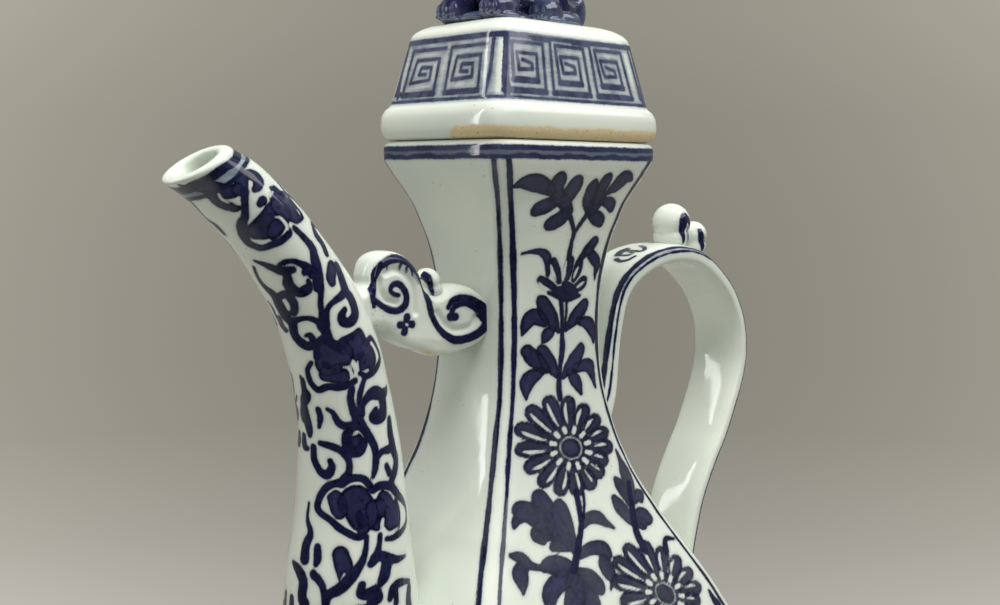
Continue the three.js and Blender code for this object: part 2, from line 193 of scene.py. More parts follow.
def corner_gaps(places, wide_steps, narrow_steps):
    """Distance round each ring to the nearest corner, above 0 on wide faces and below on narrow."""
    lengths = np.linalg.norm(np.diff(places, axis=1), axis=2)
    along = np.concatenate([np.zeros((len(places), 1)), np.cumsum(lengths, axis=1)], axis=1)
    gaps = np.empty_like(along)
    start = 0
    for side, steps in enumerate((wide_steps, narrow_steps, wide_steps, narrow_steps)):
        stop = start + steps
        span = slice(start, stop + 1)
        gap = np.minimum(along[:, span] - along[:, start:start + 1],
                         along[:, stop:stop + 1] - along[:, span])
        gaps[:, span] = gap if side % 2 == 0 else -gap
        start = stop
    return gaps


class Painting:
    """Brush strokes laid on points that have flat coordinates, in millimetres.

    Each layer holds the distance from a point to the nearest edge of the paint, below 0 in it.
    """

    REACH = 4.0
    LAYERS = ("line", "wash", "pale", "edge", "spared")

    def __init__(self, across, up, squeeze=1.0, turn=None):
        self.across = np.asarray(across, float).ravel()
        self.up = np.asarray(up, float).ravel()
        self.squeeze = np.broadcast_to(np.asarray(squeeze, float).ravel(), self.across.shape)
        self.turn = turn
        self.layers = {name: np.full(self.across.shape, self.REACH) for name in self.LAYERS}

    def run(self, chosen, start):
        """How far across the chosen points lie from a start, the short way round."""
        run = self.across[chosen] - start
        return (run + self.turn / 2) % self.turn - self.turn / 2 if self.turn else run

    def gap_to(self, chosen, line):
        """Distance from the chosen points to a line of across, up, radius, less that radius."""
        starts = line[:-1] if len(line) > 1 else line
        stops = line[1:] if len(line) > 1 else line
        squeeze = self.squeeze[chosen][:, None]
        run_x = self.run((chosen, None), starts[:, 0]) * squeeze
        run_y = self.up[chosen][:, None] - starts[:, 1]
        leg_x = (stops[:, 0] - starts[:, 0]) * squeeze
        leg_y = np.broadcast_to(stops[:, 1] - starts[:, 1], leg_x.shape)
        share = (run_x * leg_x + run_y * leg_y) / np.maximum(leg_x ** 2 + leg_y ** 2, 1e-9)
        share = np.clip(share, 0, 1)
        radius = starts[:, 2] + share * (stops[:, 2] - starts[:, 2])
        return (np.hypot(run_x - share * leg_x, run_y - share * leg_y) - radius).min(axis=1)

    def near(self, line):
        """Indices of the points that a line could reach."""
        margin = self.REACH + line[:, 2].max()
        rise = (self.up > line[:, 1].min() - margin) & (self.up < line[:, 1].max() + margin)
        middle = (line[:, 0].min() + line[:, 0].max()) / 2
        span = (line[:, 0].max() - line[:, 0].min()) / 2
        return np.nonzero(rise & ((np.abs(self.run(..., middle)) - span) * self.squeeze < margin))[0]

    def stroked(self, points, closed=False):
        """The points near a stroke through places of across, up, radius, and their distances to it."""
        line = np.reshape(points, (-1, 3)).astype(float)
        if len(line) > 2:
            line = through(line, 5, closed)
            if closed:
                line = np.vstack([line, line[:1]])
        chosen = self.near(line)
        return chosen, self.gap_to(chosen, line) if len(chosen) else 0

    def lay(self, layer, points, outline=None, closed=False):
        """One stroke, or only its outline of that width."""
        chosen, gap = self.stroked(points, closed)
        if outline:
            gap = np.abs(gap) - outline / 2
        field = self.layers[layer]
        field[chosen] = np.minimum(field[chosen], gap)

    def clear(self, points, closed=False):
        """Takes what was painted away along a stroke, down to the white ground."""
        chosen, gap = self.stroked(points, closed)
        for layer in ("line", "wash", "edge"):
            field = self.layers[layer]
            field[chosen] = np.maximum(field[chosen], -gap)

    def lobe(self, points, edge=0.7):
        """A leaf's lobe or a petal: a wash that the brush left darker along its edge."""
        self.lay("wash", points)
        self.lay("edge", points, outline=edge)

    def only(self, kept):
        """Takes all paint away from the points that aren't kept."""
        for field in self.layers.values():
            field[~np.ravel(kept)] = self.REACH

    def finished(self):
        """The layers by name, with the spared places taken out of the washes."""
        spared = self.layers["spared"]
        return {
            "line": self.layers["line"],
            "edge": self.layers["edge"],
            "wash": np.maximum(self.layers["wash"], -spared),
            "pale": np.maximum(self.layers["pale"], -spared),
        }


def unpainted(shape, *more):
    """Every layer of a glaze, with no paint in it."""
    return {name: np.full(shape, Painting.REACH) for name in ("line", "wash", "pale", "edge", *more)}


# Stations of a petal and of the white crescent in it: share of the flower's radius, half width, aside
PETAL = ((0.44, 0.075, 0), (0.62, 0.13, 0), (0.76, 0.16, 0), (0.86, 0.145, 0))
PETAL_CRESCENT = ((0.51, 0.012, 0.03), (0.62, 0.028, 0.052), (0.75, 0.034, 0.062), (0.86, 0.014, 0.05))
PETAL_EDGE = 0.06
PETAL_LINE = 0.035
HEART = 0.44
HEART_DOTS = 12
HEART_DOT = ((0.335, 0.045), (0.41, 0.052))


def chrysanthemum(paint, centre, east, north, petals=16, turn=0.1):
    """A flower in its own slanted axes: long petals round a ring of pale dots and a small ring."""
    size = (math.hypot(*east) * paint.squeeze[0] + math.hypot(*north)) / 2

    def spot(angle, share, half, aside=0):
        x = share * math.cos(angle) - aside * math.sin(angle)
        y = share * math.sin(angle) + aside * math.cos(angle)
        return (centre[0] + x * east[0] + y * north[0], centre[1] + x * east[1] + y * north[1], half * size)

    def round_of(share, half, count=24):
        return [spot(2 * math.pi * k / count, share, half) for k in range(count)]

    def outer(stations, angle, reach):
        """A petal's stations, of which the outer two follow how far it reaches."""
        return [spot(angle, share * (reach if k > 1 else 1), half, aside)
                for k, (share, half, aside) in enumerate(stations)]

    for k in range(petals):
        angle = turn + 2 * math.pi * k / petals
        reach = 1 + 0.05 * math.sin(5.3 * k + 1) - 0.16 * math.cos(angle) + 0.07 * math.sin(angle)
        petal = outer(PETAL, angle, reach)
        paint.lobe(petal, edge=PETAL_EDGE * size)
        paint.lay("line", petal, outline=PETAL_LINE * size)
        paint.lay("spared", outer(PETAL_CRESCENT, angle, reach))
    paint.lay("wash", [spot(0, 0, HEART)])
    for k in range(HEART_DOTS):
        angle = turn + 2 * math.pi * (k + 0.5) / HEART_DOTS
        paint.clear([spot(angle, share, half) for share, half in HEART_DOT])
    paint.lay("edge", round_of(0.27, 0.03), closed=True)
    paint.clear(round_of(0.222, 0.017), closed=True)
    paint.lay("pale", round_of(0.222, 0.02), closed=True)
    paint.lay("edge", round_of(0.165, 0.03), closed=True)


def swollen(stroke, more):
    """The same stroke from a fuller brush."""
    return np.reshape(stroke, (-1, 3)) + (0, 0, more)


def daisy(paint):
    """The small flower on the neck: dark petals, each with a white crescent, over a full heart."""
    for petal in DAISY_PETALS:
        paint.lobe(petal, edge=0.8)
    for crescent in DAISY_CRESCENTS:
        paint.lay("spared", crescent)
    for heart in DAISY_HEART:
        paint.lay("line", heart)


# A brush stroke is a row of three numbers for each of its places: two that say where, and its half
# width. Strokes of the spray on a wide face: across, height and half width
TOP_LEAF_LOBES = (
    (-11.4, 270.2, 1.2, -16.3, 272.4, 2.5, -21.1, 273.4, 2.7, -25.3, 273.4, 1.7, -29.3, 271.9, 0.3),
    (-5.8, 267.5, 1.5, -9.6, 271.2, 2.5, -9.3, 274.2, 2.3, -8.8, 276, 0.9),
    (-3, 266.2, 1.5, -1.9, 269.9, 2.4, -0.6, 273, 2.3, -0.3, 274.7, 1.1),
    (-6.9, 266.8, 1.2, -11.8, 265.7, 2.4, -15.4, 264.5, 2.1, -17.2, 263.2, 0.7),
    (-1.3, 263.7, 1.2, -3.1, 261.8, 2.3, -7.5, 259.7, 2.3, -9.9, 258.9, 0.9),
    (-7.7, 268.7, 1.8, -3, 266.2, 2.1, -0.4, 263.7, 1.5),
    (9.9, 263.5, 1.3, 8.1, 267.3, 1.8, 8.4, 271.7, 1.9, 8.7, 273.9, 0.7),
    (12.6, 266.7, 0.9, 13.1, 269.8, 1.6, 14.2, 274.3, 1.8, 15.2, 276, 0.6),
    (17, 269.8, 0.6, 20.6, 272.4, 2, 23.5, 275.3, 2.2, 27.5, 274.4, 0.5),
    (14.6, 268.6, 1.6, 12.9, 266, 1.9, 10.8, 263.5, 1.4), (13.3, 267.3, 0.9, 19.6, 266.3, 1.9, 21.2, 264, 1),
    (11.1, 262.5, 1.4, 15, 260.9, 2.4, 17, 258.9, 0.9),
)
NECK_LEAF_LOBES = (
    (-19.4, 249.9, 0.2, -15.6, 250.4, 0.5, -11.2, 250.3, 1, -7.9, 248.9, 1.4, -6.3, 245.7, 1.1,
     -6.1, 242.1, 0.5), (7.5, 244.6, 0.6, 10.8, 248.3, 1.1, 13.6, 250.8, 1.7, 15.8, 253.2, 1.35),
    (13.6, 249.6, 1.35, 16.8, 246.7, 1.8, 18.8, 244.1, 1.2, 18.3, 241.7, 0.6, 18.2, 239.3, 0.1),
    (0.3, 222.3, 0.6, -4, 227.7, 2.5, -7.6, 232.7, 2.1, -9.2, 234.7, 0.8),
    (-6.7, 225.7, 1.3, -11.6, 228.3, 2.6, -14.7, 226.7, 2.1, -17.3, 222.6, 0.3),
    (-3, 223.2, 1.1, -5.2, 221.8, 2, -7.3, 219.3, 0.6),
    (4, 222.6, 0.6, 8.6, 226.5, 2.1, 12.7, 230.4, 1.8, 13.7, 232, 0.8),
    (11.1, 225, 1.2, 15.5, 224, 2.1, 17.9, 220.5, 1.3, 18.7, 216.8, 0.2),
    (-0.7, 206.7, 0.6, -4.5, 211.9, 2.3, -7.6, 216.3, 1.9, -8.6, 217.5, 0.8),
    (-6, 209.5, 1, -11.7, 213.9, 2.5, -15.1, 217, 2),
    (-8.7, 209.2, 1.3, -14.6, 207.3, 2.6, -16.1, 203.4, 1.2, -16.5, 200.8, 0.2),
    (2.1, 206.4, 0.8, 7.1, 210.7, 2.3, 11, 214.9, 1.7, 11.7, 216.8, 0.6),
    (8.9, 208.6, 1.3, 14.7, 209.3, 2.2, 16.7, 206.5, 1.3, 18.5, 201, 0.2),
    (5.9, 207.6, 1.2, 8.5, 204.1, 1.8, 10.8, 199.6, 0.4),
)
DAISY_PETALS = (
    (-0.1, 239.5, 1, -2, 243.1, 1.7, -4, 246.7, 1.5), (3.5, 240.5, 1.1, 3.9, 243.6, 1.8, 4.3, 246.8, 1.6),
    (7.1, 239.9, 1, 8.4, 242.6, 1.7, 9.4, 245.4, 1.35), (7.6, 236.2, 1.35, 10.5, 237.7, 2, 12.1, 239.6, 1.5),
    (-2.3, 237, 1.4, -5.7, 238.6, 1.95, -9.3, 240.7, 1.5),
)
DAISY_CRESCENTS = (
    (-5, 245.4, 0.3, -3.9, 243.2, 0.6, -2, 240.5, 0.3), (2.5, 246.3, 0.3, 2, 243.7, 0.6, 2.2, 241.1, 0.35),
    (8.9, 244.1, 0.3, 7.7, 242.2, 0.5, 7.2, 240.5, 0.3), (12.5, 238.8, 0.3, 11, 238, 0.5, 9.3, 237.1, 0.3),
    (-10, 239.8, 0.3, -8, 238.1, 0.6, -4.4, 236.7, 0.35),
)
DAISY_HEART = (
    (-2, 236.9, 1.2, 3, 235.9, 2.3, 8, 235.6, 1.6), (2.8, 238.6, 1.4, 5, 237.3, 1.8),
    (-5, 236, 0.7, 0.2, 234.1, 0.9, 4.9, 233.2, 1.1, 10.1, 234.1, 0.9),
)
NECK_STEMS = (
    (-1.1, 264.3, 0.9, 2.7, 259.2, 0.65, 4.4, 256, 0.6, 3.9, 252.8, 0.6, 3.6, 247.7, 0.8),
    (4.2, 255.7, 0.55, 6.8, 259.4, 0.6, 9.6, 262.9, 0.8),
    (1.1, 233.8, 0.65, 2, 227.9, 0.6, 2, 221.5, 0.65, 2.1, 215.7, 0.9, 0.6, 208.8, 0.65, -0.3, 202.8, 0.9,
     0.1, 199, 0.8), (4.1, 233.6, 0.35, 4, 227.8, 0.35, 3.1, 223, 0.4),
)
BELLY_STEMS = (
    (0.5, 167.6, 0.9, -0.1, 162.1, 0.8, -1.5, 156.8, 0.8, -6.6, 149.8, 1, -10.8, 144.8, 1.1),
    (3.8, 166.4, 0.4, 2.7, 162.8, 0.35, 0.4, 158.9, 0.35),
    (27.8, 166.3, 0.6, 26.5, 160.1, 0.8, 24.9, 153.3, 1, 24.8, 148.2, 1.1, 26, 143.6, 0.9),
    (36.5, 141.6, 1, 37.3, 144.3, 0.8, 39.1, 145.4, 0.7, 43.3, 144.5, 0.3),
    (52.9, 125, 0.3, 54.1, 122.1, 0.8, 55.9, 118.6, 1.2, 53, 112.5, 1, 46, 108.5, 0.9),
)
BELLY_LEAF_LOBES = (
    (-0.5, 156.7, 0.7, 2.8, 158.5, 1.7, 7.2, 158.2, 2, 10.6, 155.8, 1.1, 14.1, 153.4, 0.2),
    (-7.7, 150.1, 1, -8.9, 156.9, 2.8, -9.1, 163, 2.7, -9, 165.6, 1.3),
    (-11.3, 155.6, 2.2, -14.8, 162.8, 3.2, -17.1, 167.8, 2.9, -17.6, 170, 1.2),
    (-17.3, 159, 1.9, -22.4, 164.2, 2.9, -26.1, 166.3, 2.8, -28.6, 166.4, 1.4),
    (-26.6, 164.9, 1.9, -29.7, 163.6, 1.3, -31.5, 161.9, 0.4),
    (-14.3, 157.3, 2.2, -20.3, 158.4, 2.9, -22.9, 157.4, 1.5, -20.6, 155.4, 0.9),
    (-8, 152.5, 2.2, -13.2, 153.5, 2.4, -17, 153, 1.1),
    (-5.5, 148.7, 1.3, 0.1, 149.5, 1.9, 5.5, 148.4, 2.2, 7.2, 146, 1.3),
    (3.9, 145.4, 1.2, 4.4, 143.5, 2.2, 5.1, 140.9, 2.1, 5.4, 138.5, 0.9, 3.4, 135.9, 0.2),
    (-35.8, 154.2, 0.6, -32.3, 152.8, 1.6, -28.9, 149.8, 1.1, -24.7, 148.2, 0.8),
    (-30.7, 150.7, 1.2, -34.1, 148.9, 2.3, -34.6, 145.9, 1.7, -35.5, 142.6, 0.2),
    (-10.6, 145.3, 1.3, -15.4, 146.8, 2.8, -19.7, 148.3, 2.6, -23.4, 148.2, 1.4),
    (-12.5, 143.3, 2.3, -19.3, 142.7, 2.9, -23.8, 140.7, 2.7, -25.3, 138.5, 1.9),
    (-11.4, 143.7, 1.7, -13, 139.3, 2.9, -16, 134.1, 3.1, -18.2, 130.6, 1.2),
    (-8.5, 143.7, 1.3, -4.9, 141.5, 2.3, -2.1, 138.2, 2.2, -1.2, 136.1, 0.8),
    (-11, 140.7, 2.2, -8.2, 136.5, 2.9, -7.2, 132.8, 2.5, -7.6, 129.6, 0.9),
    (25.1, 178, 0.2, 26.4, 173.8, 0.8, 27.4, 169.7, 1.9, 28, 165.6, 1.8, 27.7, 162.4, 1),
    (21.6, 168.5, 0.8, 23.3, 165.8, 1.8, 25.2, 161.9, 1.6, 26.1, 158.2, 0.8),
    (18.5, 162.6, 1, 20, 159.6, 2, 22.5, 155.9, 1.8, 24.6, 152.7, 0.8),
    (26.7, 159.4, 0.8, 31.1, 161.5, 1.9, 31.8, 159.8, 1),
    (25.2, 153.9, 1.1, 29.4, 155, 2.4, 31.9, 153.3, 2.1, 33.9, 152.9, 0.6), (26.3, 153, 1.5, 29, 151.9, 1.6),
)
# Stems of the lower belly
LOW_STEMS = (
    (-4, 131, 1.1, 0.5, 121, 1, 3, 111, 1, 1, 100, 1, -3.5, 88, 1.1, -0.5, 74, 1.2, 5.5, 61, 1.2, 4, 46, 1.3,
     -3, 33, 1.4, -1, 19.5, 1.8), (2.6, 108, 0.6, -3, 110, 0.7, -9, 106.5, 0.9),
    (-1, 74, 0.7, 4.5, 81, 0.8, 12, 81.5, 1), (5, 57, 0.7, -3, 61, 0.8, -14, 57.5, 1),
    (4.6, 48, 0.7, 12, 50, 0.7, 23, 45, 0.9),
    (-38, 82.5, 0.9, -45, 77, 0.8, -53, 76, 0.7, -60, 80, 0.5, -60.5, 85.5, 0.6, -56, 86.5, 0.9),
    (53, 92, 0.4, 60, 97, 0.7, 64, 92, 0.9, 61, 88, 0.8),
    (-47, 107, 0.5, -52, 114, 0.8, -48, 119, 0.9, -43.5, 115.5, 0.6),
    (-46, 41, 0.8, -53, 36, 0.7, -51, 30, 0.9, -46.5, 32, 0.5),
    (47, 38, 0.7, 53, 41, 0.8, 57, 47, 0.9, 53, 51, 0.6),
)
# Leaves of the lower belly: root across and height, tip across and height
LOW_LEAVES = (
    (-3, 86.5, -20, 73.5), (-1.5, 78, -17.5, 66), (3.2, 112, 23, 104.5), (0, 120, -17, 118.5),
    (-21, 117, -33, 133), (-36, 113.5, -46, 127), (45, 107.5, 60, 96.5), (-41, 81, -53, 67),
    (-52, 76, -66, 68), (6, 62, 22, 57.5), (56, 70, 66, 57), (52, 63, 50, 52), (-51, 58, -64, 56),
    (-38, 37.5, -31, 27), (-3, 36, -20, 34.5), (-2, 27, -18, 24), (0, 38, 15, 35), (0, 25, 17, 24.5),
    (34, 30.5, 27, 21.5), (44, 33, 47, 23.5), (-44, 34, -42, 22.5),
)
# Flowers of the lower belly: centre, its east and its north
LOW_FLOWERS = (
    ((-30, 98), (21, 4), (-2, 16)), ((34, 78), (22, -4), (3, 17)), ((-34, 53), (19, 3), (-2, 15)),
    ((36, 42), (14, -2), (2, 11.5)),
)
# Blades of grass at the foot: root across, tip across, tip height
LOW_GRASS = (
    (-38, -41, 24), (-35, -35, 28), (-32, -27, 24), (-26, -31, 25), (-14, -17, 25), (-11, -10, 28),
    (-8, -3, 24), (8, 5, 25), (10, 11, 29), (13, 19, 25), (22, 20, 25), (36, 33, 26), (39, 40, 29),
    (42, 47, 25),
)
GRASS_ROOT = 18
LOBE_FULLER = 0.25
STEM_FULLER = 0.2
# Flowers that are seen on a wide face: centre, its east, its north, and the turn of the first petal
FACE_FLOWERS = (
    ((2.3, 182), (23.3, -4.6), (3.7, 16), 0.1),
    ((29.3, 129), (21.4, -6), (2.3, 15.6), 0.25),
)
# Lobes of an invented leaf: shares of its length along and aside, and half width
LEAF_MIDDLE = ((0, 0, 0.04), (0.3, 0, 0.11), (0.62, 0.02, 0.13), (0.86, -0.02, 0.08), (1, -0.05, 0.012))
LEAF_UPPER = ((0.12, 0, 0.07), (0.36, 0.2, 0.12), (0.6, 0.36, 0.07), (0.7, 0.42, 0.015))
LEAF_LOWER = ((0.06, 0, 0.06), (0.1, 0.2, 0.1), (0.1, 0.36, 0.07), (0.04, 0.45, 0.015))


def leaf(paint, root, tip):
    """A leaf with five lobes from its root to its tip."""
    root = np.array(root)
    ahead = np.array(tip) - root
    aside = np.array((-ahead[1], ahead[0]))
    size = np.linalg.norm(ahead)

    def lobe(stations, side=1):
        paint.lobe([(*(root + ahead * run + aside * off * side), half * size)
                    for run, off, half in stations])

    lobe(LEAF_MIDDLE)
    for side in (-1, 1):
        lobe(LEAF_UPPER, side)
        lobe(LEAF_LOWER, side)
    paint.lay("edge", [(*root, 0.25), (*(root + ahead * 0.8), 0.1)])


def low_painting(paint):
    """The foot of the spray: its flowers and leaves over grass."""
    for root_across, root_up, tip_across, tip_up in LOW_LEAVES:
        leaf(paint, (root_across, root_up), (tip_across, tip_up))
    for stem in LOW_STEMS:
        paint.lay("line", stem)
    for root, tip, height in LOW_GRASS:
        middle = ((2 * root + tip) / 3, (GRASS_ROOT + height) / 2, 0.8)
        paint.lay("line", [(root, GRASS_ROOT, 0.9), middle, (tip, height, 0.1)])
    for k, (centre, east, north) in enumerate(LOW_FLOWERS):
        chrysanthemum(paint, centre, east, north, petals=16 if k < 3 else 12, turn=0.3 * k + 0.15)


def face_painting(paint):
    """The flowering spray that climbs a wide face."""
    low_painting(paint)
    for lobe in TOP_LEAF_LOBES + NECK_LEAF_LOBES + BELLY_LEAF_LOBES:
        paint.lobe(swollen(lobe, LOBE_FULLER))
    for stem in NECK_STEMS + BELLY_STEMS:
        paint.lay("line", swollen(stem, STEM_FULLER))
    daisy(paint)
    for centre, east, north, turn in FACE_FLOWERS:
        chrysanthemum(paint, centre, east, north, turn=turn)


# Brush strokes of the spout: degrees from its front towards -Y, length from its mouth, half width
SPOUT_FILLS = (
    (21, 1.7, 0.18, 29, 4.1, 0.7, 40, 4.9, 1.7, 53, 6.6, 2.1, 63, 10, 2.1, 74, 11, 1.8),
    (42, 8.3, 1.2, 43, 11.9, 1.5, 52, 14.8, 1.1, 58, 15.8, 0.4),
    (80, 11.9, 2, 92, 10, 1.6, 105, 10, 1.5, 113, 11.9, 1.8, 112, 13.8, 1.8, 102, 14.8, 1.3, 94, 14.8, 0.7),
    (120, 20.6, 1.8, 111, 23.2, 3.4, 113, 26.3, 3.4, 113, 29.5, 2.1),
    (90, 24.8, 4.3, 69, 24.8, 3.8, 53, 24, 2.6), (78, 28.7, 3.4, 84, 30.4, 1.6),
    (112, 48.5, 1.8, 101, 49.9, 1.7, 97, 51.4, 1.3), (75, 43.7, 1.5, 80, 45.4, 1.8),
    (52, 70.2, 3.3, 63, 73, 4.2, 47, 74.3, 3.6), (60, 79, 3.5, 44, 77.9, 2.6),
    (89, 71.6, 3.6, 96, 75.6, 3.7, 103, 77.9, 2.5, 91, 79.9, 2.5), (61, 101.4, 2.2, 63, 100.6, 1.7),
    (58, 120.1, 4.6, 64, 124.5, 4.7, 64, 128.6, 2.4), (37, 119.2, 2.3, 41, 123.6, 2.2),
    (93, 121.8, 4, 98, 127, 3.9, 101, 130.1, 2.2), (79, 123.6, 3.1, 78, 127.8, 2.3),
    (44, 136.9, 2.4, 47, 140, 2.6, 49, 143.1, 2.2),
)
